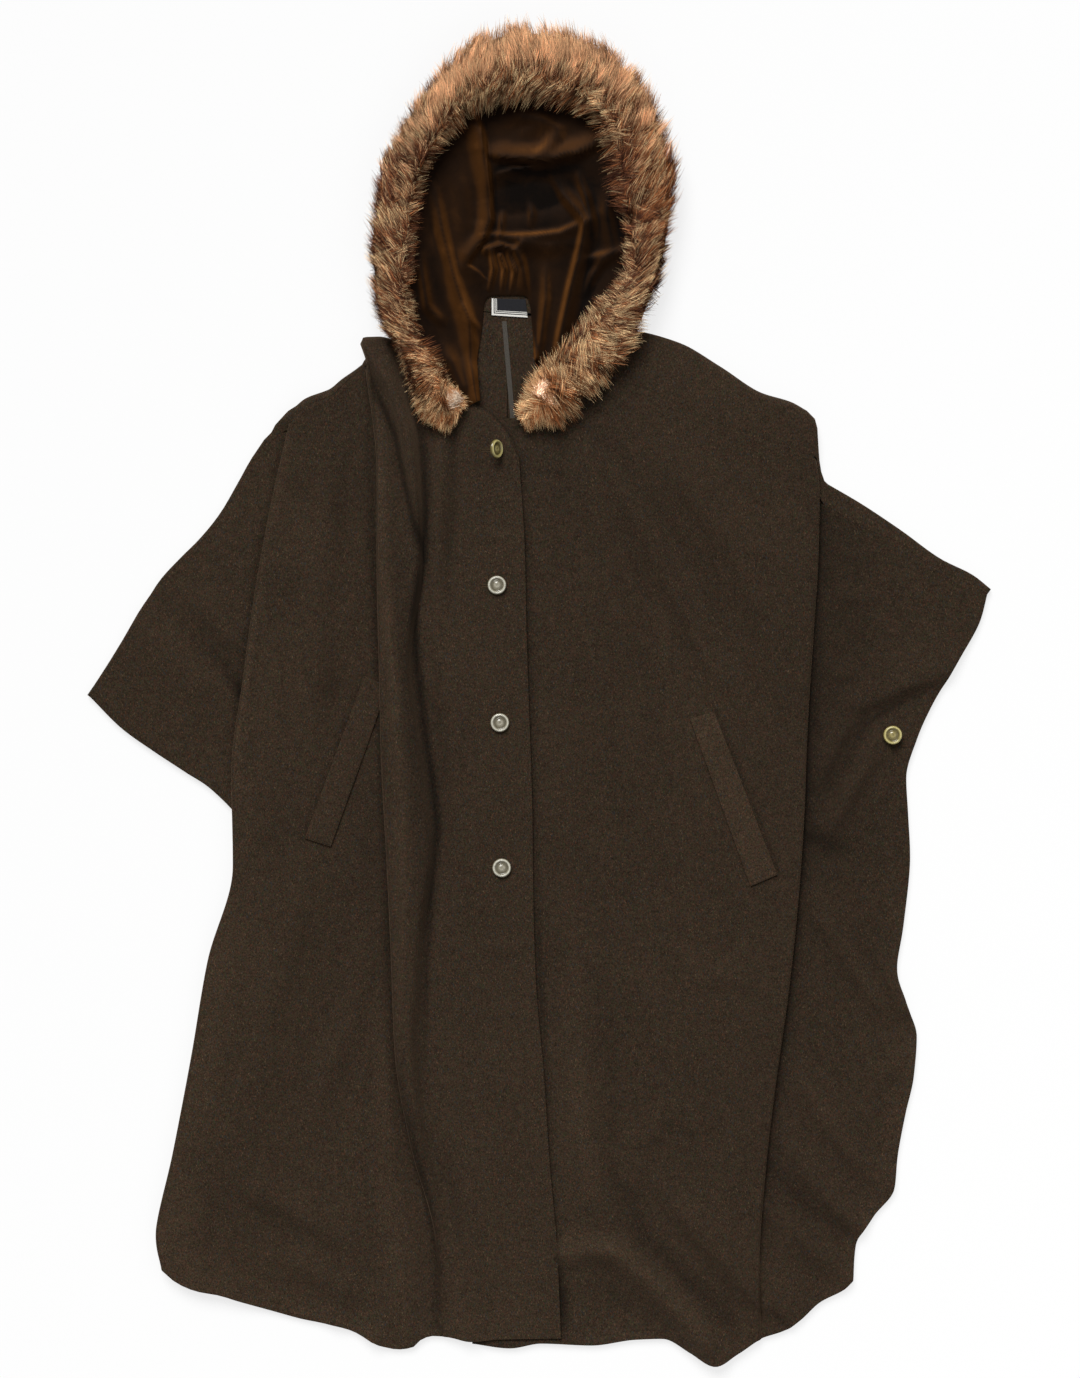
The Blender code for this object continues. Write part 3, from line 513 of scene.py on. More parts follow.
# Ridges are above zero and troughs below
LEFT_CREASES = photo_creases((
    (((563, 1252, 2.5), (590, 1246, 4.5), (620, 1252, 5), (655, 1282, 5), (685, 1318, 4.5),
      (704, 1345, 3)), 11, 15),
    (((715, 1363, 3), (704, 1330, 2.6), (690, 1290, 0)), 14, 14),
    (((638, 1150, 0), (680, 1212, 3), (725, 1260, 3.6), (766, 1302, 3)), 32, 11),
    (((572, 950, 0), (576, 1030, 1.9), (580, 1120, 2.3), (592, 1200, 1.8), (604, 1236, 0)), 13, 13),
    (((640, 425, 0), (690, 490, 3), (738, 562, 3.6), (768, 640, 2.8), (784, 720, 0)), 44, 15),
    (((598, 452, 0.8), (626, 498, 2.6), (652, 545, 3.4), (686, 618, 3.4), (714, 672, 1.8), (738, 720, 0)),
      13, 12),
    (((586, 438, 1), (595, 500, 2.6), (610, 570, 2.8), (622, 640, 1.8), (628, 700, 0)), 13, 15),
    (((632, 676, 0), (635, 720, 2), (640, 780, 2.3), (656, 838, 1.6), (670, 890, 0)), 9, 10),
    (((672, 690, 0), (692, 760, 1.9), (706, 830, 1.9), (718, 900, 0)), 13, 11),
    (((632, 1184, 1.2), (644, 1140, 1.9), (672, 1110, 1.9), (708, 1096, 0)), 12, 11),
    (((700, 986, 0), (722, 980, 1.3), (748, 984, 0)), 14, 6),
    (((664, 1120, 0), (690, 1126, 1.3), (716, 1122, 0)), 12, 6),
    (((560, 640, 0), (566, 740, 1.3), (570, 850, 1.4), (572, 930, 0)), 16, 14),
    (((950, 672, 2.2), (915, 682, 3), (885, 696, 3), (862, 706, 2), (838, 712, 0)), 6.5, 30),
    (((884, 728, 1.8), (876, 742, 2.6), (865, 764, 2.8), (846, 795, 2.8), (830, 824, 2), (821, 848, 0)),
      10, 7),
    (((858, 712, 1.6), (840, 738, 2.4), (824, 768, 2.2), (813, 795, 0)), 6, 16),
    (((804, 838, 0), (822, 846, -1.5), (848, 848, 0)), 12, 12),
    (((820, 668, 0), (838, 676, 1.4), (862, 670, 0)), 6, 6),
    (((822, 590, 0), (850, 600, 1.3), (884, 594, 0)), 9, 8),
    (((826, 545, 0), (850, 556, 1), (880, 552, 0)), 6, 6),
    (((800, 886, 0), (825, 922, 2.8), (852, 962, 3.2), (876, 1000, 3), (894, 1024, 0)), 17, 10),
    (((880, 946, 0), (890, 980, 2.6), (904, 1010, 2.2)), 6, 8),
    (((785, 1046, 0), (800, 1080, 2.2), (825, 1118, 2.9), (852, 1152, 2.9), (882, 1182, 1.4)), 16, 11),
    (((776, 1136, 1), (812, 1183, 2.6), (850, 1220, 2.9), (874, 1238, 1.4)), 13, 7.5),
    (((766, 1204, 1.6), (800, 1240, 2.4), (835, 1264, 2), (850, 1282, 1)), 8, 14),
    (((905, 1040, 0), (890, 1070, 1.6), (868, 1090, 0)), 8, 10),
))
# Painted shade darkens the cloth in the creases and beside the folds, and painted highlight lightens it on
# the pressed edges
LEFT_PAINTED_SHADING = {
    "side": (
        (((814, 458, -0.4), (817, 500, -0.42), (811, 636, -0.4), (802, 814, -0.45), (787, 992, -0.38),
          (764, 1170, -0.32), (758, 1255, -0.25)), 10, 10),
        (((822, 480, -0.16), (822, 560, -0.2), (818, 700, -0.22), (806, 860, -0.2), (787, 992, -0.1),
          (774, 1080, -0.06)), 70, 70),
        (((948, 684, -0.15), (908, 697, -0.32), (882, 713, -0.35), (864, 724, -0.25), (845, 760, -0.15),
          (820, 795, -0.1)), 5, 4),
        (((813, 838, -0.28), (830, 846, -0.32), (848, 848, -0.15)), 10, 9),
        (((892, 730, 0.02), (868, 764, 0.12), (846, 798, 0.12), (830, 826, 0.1)), 5, 5),
        (((769, 1163, -0.2), (808, 1206, -0.26), (843, 1233, -0.2)), 8, 8),
        (((806, 1330, 0.12), (830, 1298, 0.2), (852, 1268, 0.22), (866, 1225, 0.16), (886, 1180, 0.16),
          (902, 1090, 0.14), (914, 1040, 0.16), (908, 975, 0.16), (900, 920, 0.08)), 15, 15),
        (((808, 902, 0.05), (850, 960, 0.12), (886, 1015, 0.08)), 8, 8),
        (((791, 1067, 0.05), (825, 1120, 0.12), (869, 1172, 0.08)), 8, 8),
        (((836, 910, 0), (862, 946, -0.14), (890, 990, -0.1)), 9, 9),
    ),
    "upper": (
        (((715, 711, -0.3), (746, 790, -0.34), (778, 874, -0.34)), 3, 3),
        (((516, 427, -0.42), (526, 422, -0.42), (538, 419, -0.36)), 3, 3),
        (((520, 460, -0.3), (525, 545, -0.34), (530, 720, -0.34), (534, 860, -0.34), (544, 1072, -0.34),
          (557, 1250, -0.3), (561, 1336, -0.25)), 5, 5),
        (((598, 435, -0.14), (619, 456, -0.13), (645, 488, -0.12), (672, 525, -0.11), (703, 567, -0.1),
          (719, 614, -0.08), (724, 656, 0)), 10, 10),
        (((619, 514, -0.04), (635, 556, -0.09), (645, 593, -0.08), (653, 625, 0)), 9, 9),
        (((556, 435, -0.1), (557, 510, -0.08), (556, 593, 0)), 9, 9),
        (((619, 672, 0), (610, 740, -0.1), (616, 800, -0.1), (629, 830, 0)), 9, 9),
        (((645, 672, 0), (660, 745, -0.1), (682, 814, 0)), 8, 8),
        (((617, 1170, -0.1), (643, 1233, -0.26), (686, 1276, -0.28), (730, 1320, -0.24)), 10, 10),
        (((565, 1252, 0.2), (612, 1248, 0.3), (664, 1288, 0.3), (700, 1332, 0.24)), 11, 11),
        (((562, 1340, 0.16), (640, 1346, 0.24), (700, 1364, 0.24), (770, 1336, 0.18)), 32, 32),
        (((536, 1080, 0.04), (548, 1160, 0.09), (566, 1240, 0.12)), 50, 50),
        (((559, 1262, -0.25), (563, 1300, -0.4), (566, 1325, -0.35)), 6, 10),
        (((565, 1296, -0.06), (610, 1290, -0.16), (645, 1316, -0.14)), 12, 12),
        (((572, 900, 0), (574, 1000, 0.12), (580, 1110, 0.16), (592, 1190, 0.14), (606, 1236, 0.06)),
          14, 14),
        (((606, 960, 0), (608, 1060, -0.12), (611, 1160, -0.12), (618, 1210, -0.06)), 11, 11),
    ),
}
LEFT_LEVEL = -0.07
left_rows = fitted_rows(left_front_row, LEFT_ROWS, left_front_top, left_front_hem)
front_left = cloth_shell(
    "front_left_cloth", lifted(left_rows, LEFT_CREASES, ("upper", "side")), WOOL, wool, "front_left",
    painted_tones=painted_shade_tones(left_rows, LEFT_PAINTED_SHADING, LEFT_LEVEL))

# The wearer's right front, which closes over the left one
# It is wool coating too. Beside the placket a pleat stands up in a strip from the shoulder to the hem,
# and the sleeve part folds under the shoulder part along a long edge.
STRIP_BEND = 2.6
RIGHT_EDGE = {
    "down": (0, 0.1, 0.2, 0.3, 0.4, 0.5, 0.6, 0.7, 0.8, 0.9, 1),
    "x": (-21, -15, -13, -10, -7, -6, -3, 5, 11, 19, 23),
    "y": (248, 156, 65, -27, -120, -212, -305, -397, -489, -582, -675),
}
RIGHT_STRIP = {
    "down": (0, 0.1, 0.2, 0.3, 0.4, 0.5, 0.6, 0.7, 0.8, 0.9, 1),
    "y": (374, 258, 145, 41, -64, -169, -274, -374, -474, -573, -676),
    "foot_x": (-152, -124, -120, -132, -119, -109, -121, -124, -112, -88, -83),
    "fold_x": (-185, -172, -171, -168, -165, -159, -154, -150, -133, -107, -100),
    "turn": (180, 180, 180, 180, 180, 180, 180, 165, 110, 60, 25),
    "slope": (6, 6, 6, 7, 9, 10, 10, 12, 12, 12, 12),
}
RIGHT_FOLD = {
    "down": (0, 0.1, 0.2, 0.3, 0.4, 0.5, 0.6, 0.7, 0.8, 0.9, 1),
    "x": (-266, -283, -299, -311, -322, -320, -346, -363, -382, -400, -394),
    "y": (287, 204, 109, 15, -80, -180, -279, -379, -479, -565, -601),
    "straight": (28, 40, 50, 55, 58, 58, 58, 56, 52, 48, 44),
}
RIGHT_SLEEVE = {
    "down": (0, 0.1, 0.2, 0.3, 0.4, 0.5, 0.6, 0.7, 0.8, 0.9, 1),
    "x": (-472.9, -439, -406, -373, -341, -301, -318, -336, -355, -373, -366),
    "y": (0, -34, -58, -80, -102, -164, -269, -374, -474, -558, -592),
}
RIGHT_NECK_AND_STRIP = (
    (-21, 248), (-24, 259), (-30, 272), (-41, 286), (-51, 296), (-62, 302), (-78, 308), (-104, 322),
    (-125, 349), (-141, 364), (-152, 371), (-166, 374), (-187, 368))
RIGHT_SHOULDER = (
    (-160, 358), (-172, 352), (-182, 348), (-193, 340), (-207, 330), (-219, 320), (-246, 309), (-267, 288))
RIGHT_SLEEVE_TOP = (
    (-225, 318), (-246, 309), (-267, 288), (-282, 277), (-293, 260), (-303, 245), (-314, 225), (-335, 189),
    (-356, 163), (-377, 142), (-398, 119), (-423, 78), (-440, 51), (-461, 18), (-472.9, 0))
RIGHT_HEM = (
    (23, -675), (-37, -676), (-71, -678), (-95, -674), (-112, -673), (-124, -677), (-133, -685),
    (-147, -687), (-166, -683), (-188, -671), (-209, -663), (-249, -655), (-271, -649), (-314, -636),
    (-335, -629), (-357, -625), (-377, -617), (-391, -606), (-395, -601))
STRIP_SLOPE = 12.0
STRIP_SLACK = 5.0
STRIP_LEAST = 2.0
SLOPE_SHARE = 0.7
RAMP_CLEAR = 4
RIGHT_RAMP = 75.0
SHORTEST_RAMP = 30
SHOULDER_SPACING = 1.15
FRONT_COLUMNS = 30
STRIP_COLUMNS = 15
SLOPE_STEPS = 5
SHOULDER_COLUMNS = 36
SLEEVE_COLUMNS = 40
RIGHT_ROWS = 190


def right_front_row(down):
    """One row of middle points of the right front, from the closing edge out to the sleeve opening."""
    edge = place_at(RIGHT_EDGE, down)
    foot = at(RIGHT_STRIP, "foot_x", down)
    fold = at(RIGHT_STRIP, "fold_x", down)
    strip_y = at(RIGHT_STRIP, "y", down)
    row = []
    for k in range(FRONT_COLUMNS + 1):
        share = k / FRONT_COLUMNS
        row.append([mix(edge[0], foot, share), mix(edge[1], strip_y, share), FRONT_LAYER, "front"])
    turn = at(RIGHT_STRIP, "turn", down)
    overlap = max(STRIP_LEAST, foot - fold - STRIP_SLOPE - 2 * STRIP_BEND - STRIP_SLACK)
    top = FRONT_LAYER + fall(turn, overlap, STRIP_BEND)
    strip_start = fold + STRIP_BEND
    slope = min(at(RIGHT_STRIP, "slope", down), (foot - strip_start) * SLOPE_SHARE)
    for k in range(1, SLOPE_STEPS + 1):
        share = k / SLOPE_STEPS
        row.append([foot - slope * share, strip_y, mix(FRONT_LAYER, top, ease(share)), "strip"])
    for k in range(1, STRIP_COLUMNS + 1):
        row.append([mix(foot - slope, strip_start, k / STRIP_COLUMNS), strip_y, top, "strip"])
    for x, z in turned_under(strip_start, top, -1, turn, overlap, STRIP_BEND):
        row.append([x, strip_y, z, "hidden"])
    inner_strip = row[-1]
    main = place_at(RIGHT_FOLD, down)
    straight = at(RIGHT_FOLD, "straight", down)
    start = main[0] + PLEAT_BEND
    main_rise = fall(180, straight, PLEAT_BEND)
    foot_of_ramp = fold - RAMP_CLEAR
    head_of_ramp = min(start + straight + RAMP_PAST_FOLD, foot_of_ramp - SHORTEST_RAMP)
    ramp_length = min(RIGHT_RAMP, foot_of_ramp - head_of_ramp)
    for k in range(1, SHOULDER_COLUMNS + 1):
        share = (k / SHOULDER_COLUMNS) ** SHOULDER_SPACING
        x = mix(inner_strip[0], start, share)
        z = inner_strip[2] + main_rise * ease((head_of_ramp + ramp_length - x) / ramp_length)
        row.append([x, mix(strip_y, main[1], share), z, "shoulder"])
    for x, z in turned_under(start, row[-1][2], -1, 180, straight, PLEAT_BEND):
        row.append([x, main[1], z, "under"])
    inner = row[-1]
    sleeve = place_at(RIGHT_SLEEVE, down)
    for k in range(1, SLEEVE_COLUMNS + 1):
        share = k / SLEEVE_COLUMNS
        row.append([mix(inner[0], sleeve[0], share), mix(inner[1], sleeve[1], share), inner[2], "sleeve"])
    return row


PLEAT_TOP = FRONT_LAYER + 4 * PLEAT_BEND
SEAM_LIP = 0.8
SHOULDER_GAP = 0.1
# Where a change begins along X, and how far it takes
SHOULDER_TURN = (-140, 12)
SLEEVE_HIDDEN = (-292, 16)
HEM_TUCK = 4.0
HEM_TUCK_REACH = 30
PLACKET_RISE = (-100, 18)
PLACKET_TOP = (312, 6)
RIGHT_TOP_LINES = {
    "front": RIGHT_NECK_AND_STRIP, "strip": RIGHT_NECK_AND_STRIP, "hidden": RIGHT_SHOULDER,
    "shoulder": RIGHT_SHOULDER, "under": RIGHT_SLEEVE_TOP, "sleeve": RIGHT_SLEEVE_TOP}


def inward(line, x):
    """Unit vector from an edge line into the coat at x."""
    step = 2.0
    along = Vector((2 * step, on_line(line, x + step) - on_line(line, x - step)))
    along.normalize()
    return Vector((along.y, -along.x))


def right_front_top(point):
    x, y, z, run = point
    line = RIGHT_TOP_LINES[run]
    turned = ease((SHOULDER_TURN[0] - x) / SHOULDER_TURN[1])
    hidden = 1.0 if run in ("hidden", "under") else 0.0
    if run == "sleeve":
        hidden = ease((x - SLEEVE_HIDDEN[0]) / SLEEVE_HIDDEN[1])
    bend = (mix(z, PLEAT_TOP, hidden) - FLOOR_LAYER) / 2
    into = inward(line, x) * (bend + FLOOR_LAYER + SEAM_LIP + SHOULDER_GAP) * turned
    return Vector((x, on_line(line, x))) + into


def right_front_hem(point):
    x, y, z, run = point
    tucked = ease((x - RIGHT_FOLD["x"][-1]) / HEM_TUCK_REACH) if run in ("under", "sleeve") else 0.0
    return x, on_line(RIGHT_HEM, x) + HEM_TUCK * tucked


RIGHT_CREASES = photo_creases((
    (((366, 348, 3), (378, 368, 4.2), (393, 396, 4.8), (405, 430, 4.8), (412, 470, 4.2), (418, 510, 3.2),
      (423, 545, 1.4), (425, 568, 0)), 9, 4.5),
    (((369, 380, -1), (382, 408, -1.8), (394, 440, -1.8), (401, 480, -1.4), (409, 522, 0)), 4, 7),
    (((440, 424, 1), (440, 470, 2.8), (439, 520, 3), (437, 560, 2.2), (436, 600, 1), (436, 650, 0)), 8, 9),
    (((455, 430, -0.6), (453, 480, -1.4), (450, 540, -1.2), (451, 625, 0)), 6, 4),
    (((377, 425, 0), (381, 488, 2), (385, 567, 2.4), (391, 646, 2.6), (396, 725, 2.6), (403, 804, 2.4),
      (405, 898, 2), (403, 970, 1.6), (401, 1050, 0.8), (401, 1096, 0)), 14, 4.5),
    (((446, 646, 0), (450, 700, 1.2), (456, 780, 1.5), (458, 860, 1.2), (452, 940, 0)), 12, 9),
    (((463, 705, 0), (464, 760, -0.7), (463, 810, 0)), 5, 4),
    (((500, 1000, 0), (496, 1080, 1.2), (500, 1170, 1.4), (510, 1260, 0)), 18, 20),
    (((385, 1004, 0), (383, 1056, 2.2), (386, 1120, 2.6), (396, 1184, 2.6), (409, 1240, 2.4),
      (414, 1290, 2.2), (410, 1332, 1.4)), 9, 8),
    (((452, 1120, 0), (466, 1190, 1.6), (472, 1260, 2), (470, 1335, 1.6)), 13, 11),
    (((372, 1338, 3), (388, 1310, 2.2), (392, 1270, 0)), 13, 13),
    (((336, 1326, 2), (344, 1290, 1.2), (346, 1250, 0)), 12, 12),
    (((178, 588, 0), (208, 616, 2.4), (230, 642, 2.8), (242, 660, 1.2), (252, 676, 0.3)), 26, 6.5),
    (((146, 610, 1.2), (180, 650, 2.8), (206, 680, 3), (220, 697, 1.6), (232, 711, 0.3)), 6.5, 30),
    (((255, 812, 0), (262, 832, 1.6), (250, 860, 0)), 9, 8),
    (((180, 1118, 0), (184, 1146, 1.8), (187, 1174, 0)), 8, 7),
    (((330, 440, 0), (326, 520, 1.5), (318, 620, 1.8), (312, 700, 1.2), (306, 790, 0)), 17, 15),
    (((280, 596, 0), (274, 700, 1.5), (270, 800, 1.4), (278, 886, 0)), 14, 14),
    (((303, 464, 0), (306, 498, -1.7), (312, 545, 0)), 12, 12),
    (((344, 446, 0), (344, 515, -1.5), (352, 575, 0)), 11, 10),
    (((333, 666, 0), (336, 696, -1.7), (342, 722, 0)), 12, 13),
    (((289, 545, 0), (291, 572, 1.4), (292, 604, 0)), 13, 13),
    (((350, 585, 0), (352, 612, 1.4), (350, 650, 0)), 12, 12),
    (((366, 742, 0), (364, 800, -1.4), (372, 870, -1.4), (366, 930, 0)), 9, 12),
    (((305, 850, 0), (294, 930, 2), (272, 1010, 2), (255, 1085, 0)), 15, 24),
    (((374, 896, 0), (366, 960, 1.9), (345, 1032, 2.2), (318, 1104, 1.9), (300, 1170, 0)), 13, 13),
    (((234, 1184, 0), (262, 1195, 2), (300, 1215, 2.3), (340, 1240, 1.2), (362, 1264, 0)), 22, 7.5),
    (((262, 1240, 0), (300, 1262, 2.2), (340, 1283, 2), (384, 1300, 0)), 8, 14),
    (((238, 900, 0), (228, 990, 1.4), (214, 1080, 1.4), (204, 1170, 0)), 16, 14),
    (((468, 462, 0), (490, 458, 0.8), (516, 462, 0)), 4, 5),
    (((473, 500, 0), (495, 496, 0.8), (518, 501, 0)), 4, 5),
    (((466, 540, 0), (492, 535, 0.7), (520, 538, 0)), 4, 6),
    (((478, 946, 0), (503, 950, 1), (530, 944, 0)), 9, 4),
    (((486, 1010, 0), (503, 1014, 0.9), (522, 1008, 0)), 8, 4),
))
# Painted shade along the low valley and in the slit beside the standing strip
LOW_VALLEY_SHADE = (
    ((398, 1060, -0.1), (404, 1102, -0.35), (417, 1154, -0.5), (430, 1206, -0.5), (439, 1267, -0.42),
      (436, 1324, -0.3)), 6, 6)
SLIT_SHADE = (
    ((417, 404, -0.5), (425, 451, -0.6), (427, 504, -0.66), (425, 556, -0.8), (415, 609, -0.8),
      (417, 656, -0.8), (422, 698, -0.74), (427, 740, -0.72), (433, 777, -0.7), (438, 825, -0.7),
      (436, 856, -0.66), (431, 898, -0.6), (427, 960, -0.45), (425, 1030, -0.3), (424, 1090, -0.15)), 4, 7)
# Painted highlight along the outer edge and the hem
EDGE_LIGHT = (
    ((240, 790, 0.1), (228, 870, 0.15), (216, 960, 0.18), (202, 1060, 0.2), (186, 1140, 0.22),
      (170, 1200, 0.26), (166, 1250, 0.26), (196, 1288, 0.2), (256, 1302, 0.18), (330, 1326, 0.18),
      (372, 1340, 0.14)), 30, 30)
HEM_LIGHT = (((372, 1344, 0.12), (430, 1346, 0.17), (500, 1342, 0.15), (560, 1338, 0.12)), 34, 34)
# Painted shade in the creases and beside the folds, and painted highlight on the ridges and edges, for each
# run
RIGHT_PAINTED_SHADING = {
    "strip": (
        SLIT_SHADE,
        LOW_VALLEY_SHADE,
        HEM_LIGHT,
        (((368, 372, -0.45), (383, 404, -0.6), (396, 435, -0.6), (406, 483, -0.55), (417, 530, -0.55),
          (425, 553, -0.4)), 3, 5),
        (((366, 348, 0.06), (378, 362, 0.14), (394, 385, 0.18), (410, 430, 0.18), (418, 477, 0.14),
          (423, 525, 0)), 6, 5),
        (((374, 400, 0.1), (379, 450, 0.28), (383, 567, 0.32), (389, 646, 0.32), (395, 725, 0.32),
          (401, 804, 0.3), (402, 898, 0.24), (401, 990, 0.14), (402, 1060, 0)), 7, 7),
        (((398, 560, -0.1), (404, 650, -0.24), (412, 740, -0.26), (422, 840, -0.22), (420, 930, -0.1)),
          7, 7),
    ),
    "hidden": (
        LOW_VALLEY_SHADE,
    ),
    "front": (
        SLIT_SHADE,
        HEM_LIGHT,
        (((478, 405, -0.5), (490, 412, -0.55), (500, 421, -0.55), (510, 434, -0.5), (516, 447, -0.45),
          (519, 460, -0.3)), 2.4, 2.4),
        (((480, 411, 0.16), (489, 417, 0.18), (498, 426, 0.18), (507, 439, 0.16), (513, 452, 0.08)),
          3.5, 3.5),
        (((440, 440, 0), (440, 500, 0.1), (438, 560, 0.08), (436, 610, 0)), 6, 6),
        (((454, 435, -0.26), (452, 504, -0.28), (449, 556, -0.22), (451, 625, 0)), 5, 4),
        (((430, 640, 0), (436, 700, -0.2), (443, 770, -0.18), (446, 860, -0.06)), 9, 9),
        (((462, 705, 0), (463, 760, -0.08), (462, 810, 0)), 5, 5),
        LOW_VALLEY_SHADE,
        (((430, 1120, -0.06), (456, 1198, -0.16), (460, 1241, -0.1)), 8, 8),
    ),
    "shoulder": (
        EDGE_LIGHT,
        HEM_LIGHT,
        (((362, 677, -0.16), (334, 757, -0.3), (303, 838, -0.3)), 3, 3),
        (((368, 366, -0.2), (372, 440, -0.3), (374, 520, -0.34), (376, 583, -0.45), (380, 667, -0.48),
          (383, 730, -0.48), (388, 856, -0.48), (391, 963, -0.42), (395, 1041, -0.36),
          (401, 1098, -0.15)), 7, 7),
        (((287, 433, 0.28), (264, 540, 0.36), (253, 625, 0.36), (240, 709, 0.4), (235, 783, 0.34)), 6, 6),
        (((381, 1000, 0), (382, 1080, 0.16), (386, 1150, 0.18), (395, 1250, 0.2), (404, 1320, 0.14)), 8, 8),
        LOW_VALLEY_SHADE,
        (((306, 470, 0), (306, 493, -0.1), (310, 530, 0)), 13, 13),
        (((340, 470, 0), (343, 514, -0.1), (350, 560, 0)), 12, 12),
        (((335, 670, 0), (335, 693, -0.12), (338, 716, 0)), 13, 13),
        (((355, 870, -0.04), (339, 989, -0.09), (304, 1041, -0.07), (286, 1102, 0)), 13, 13),
        (((240, 1200, 0), (270, 1216, -0.12), (300, 1236, -0.1)), 8, 8),
        (((366, 742, 0), (364, 800, -0.14), (372, 880, -0.16), (370, 930, -0.06)), 10, 10),
    ),
    "sleeve": (
        EDGE_LIGHT,
        (((169, 604, -0.06), (201, 635, -0.18), (227, 672, -0.34), (241, 692, -0.5)), 9, 7),
        (((285, 433, -0.16), (262, 540, -0.2), (251, 625, -0.24), (238, 709, -0.26), (233, 783, -0.18)),
          5, 5),
        (((150, 626, 0.04), (185, 668, 0.09), (215, 705, 0.08)), 16, 12),
    ),
}
right_rows = fitted_rows(right_front_row, RIGHT_ROWS, right_front_top, right_front_hem)
for row in right_rows:
    for point in row:
        risen = ease((point[0] - PLACKET_RISE[0]) / PLACKET_RISE[1])
        point[2] += (PLACKET_LAYER - FRONT_LAYER) * risen * ease((PLACKET_TOP[0] - point[1]) / PLACKET_TOP[1])
front_right = cloth_shell(
    "front_right_cloth", lifted(right_rows, RIGHT_CREASES, ("front", "strip", "shoulder", "sleeve")),
    WOOL, wool, "front_right", painted_tones=painted_shade_tones(right_rows, RIGHT_PAINTED_SHADING))

# The two backs, which meet at the centre seam and lie flat on the table
# Each is wool coating, and turns up over the shoulder edge to its seam with the front, so that it shows
# there. At the neck its edge is plain, under the hood.
CENTRE_BACK_X = -33.0
BACK_INSET = 4.0
BACK_NECK = (
    (-126, 384.6), (-76, 399), (-60, 402), (-46, 400.5), (-33, 398.5), (-18, 400), (8, 398), (74, 391))
TURN_STEPS = 10
LIP_RUNS = 6
BACK_ROWS = 80
NECK_STEP = 0.75
TOP_FADE = 2.2
# Columns at the plain neck edge, and where it rises from the floor: x, y, height, share of the turn
LEFT_NECK_COLUMNS = (CENTRE_BACK_X, -20, -5, 10, 25, 40, 52, 64, 74)
LEFT_RISE = ((75.5, 390.3, 6.2, 0.3), (77, 389.6, 6.2, 0.65), (78.5, 388.6, 6.2, 1.0))
RIGHT_NECK_COLUMNS = (CENTRE_BACK_X, -48, -63, -78, -90, -102, -114, -126)
RIGHT_RISE = ((-134, 379.5, 6.6, 0.3), (-142.5, 374.5, 6.6, 0.65))
RISE_REACH = 6
# Which points of the fronts' top rows the backs wrap over
LEFT_SHOULDER = (79, 285)
LEFT_SLEEVE_START = 300
STRIP_SHOWN = 7
RIGHT_SHOWN = {"shoulder": -182, "sleeve": RIGHT_FOLD["x"][0] - 12}
SHOULDER_SPREAD = 3.0
SPREAD_FROM = (-248, 8)
LEFT_SHOULDER_EDGE = {
    "down": (79, 92, 104, 111, 152, 192, 232, 264, 282),
    "x": (80, 92, 102, 108, 148, 190, 232, 264, 280),
    "y": (387, 384.5, 381, 380, 368, 343, 316, 306, 297),
}
LEFT_SLEEVE_EDGE = {
    "down": (303, 340, 381, 420, 450, 470),
    "x": (303, 337, 379, 421, 455, 474),
    "y": (220, 200, 172, 142, 125, 110),
}
# Where the shoulder edge steps down beside the pleat: edge x and y, seam x and y, height
LEFT_STEP = (
    (288, 289, 286.5, 248.5, 13.2), (290.5, 280, 288.5, 248.5, 12.4), (291.8, 262, 290, 247, 10.0),
    (293, 246, 291.5, 232, 7.5), (295, 234, 293.5, 206, 6.0), (298.5, 224, 298, 199.6, 5.2))
# The same beside the standing strip and beside the sleeve fold of the other front
STRIP_STEP = (
    (-186.8, 367, -179.6, 360.2, 21.5), (-184.6, 361, -179.0, 356, 19.0), (-182.2, 355, -178.6, 350, 16.0),
    (-181.2, 352, -178.8, 346, 11.0), (-183.0, 350, -180.4, 344.6, 6.4))
SLEEVE_STEP = (
    (-267, 292.5, -260.2, 284.5, 11.5), (-270, 289.4, -261.5, 280.6, 8.6), (-273, 286.4, -263.5, 276.8, 6.3),
    (-276.5, 282.6, -269, 274.2, 5.2))


def neck_column(x):
    """Middle points of the back's plain neck edge at x."""
    y = on_line(BACK_NECK, x)
    return [(x, y - NECK_STEP * k, FLOOR_LAYER) for k in range(TURN_STEPS + LIP_RUNS, -1, -1)]


def turned_edge(edge, seam, height, share=1.0):
    """Middle points from the floor, round the shoulder edge and back to the seam on top.

    A share under 1 turns only part of the way, for the neck edge, which rises from the floor.
    """
    inwards = Vector((seam[0] - edge[0], seam[1] - edge[1]))
    reach = inwards.length
    inwards.normalize()
    bend = (height - FLOOR_LAYER) / 2
    depth = min(bend, reach - FLOOR_LAYER)
    centre = Vector(edge) + inwards * (depth + FLOOR_LAYER)
    points = []
    for k in range(TURN_STEPS + 1):
        angle = math.pi * share * k / TURN_STEPS
        place = centre - inwards * depth * math.sin(angle)
        points.append((place.x, place.y, FLOOR_LAYER + bend * (1 - math.cos(angle))))
    left = reach - depth - FLOOR_LAYER
    last = Vector(points[-1])
    for k in range(1, LIP_RUNS + 1):
        place = last + Vector((*(inwards * -math.cos(angle)), math.sin(angle))) * left * k / LIP_RUNS
        points.append(tuple(place))
    return points


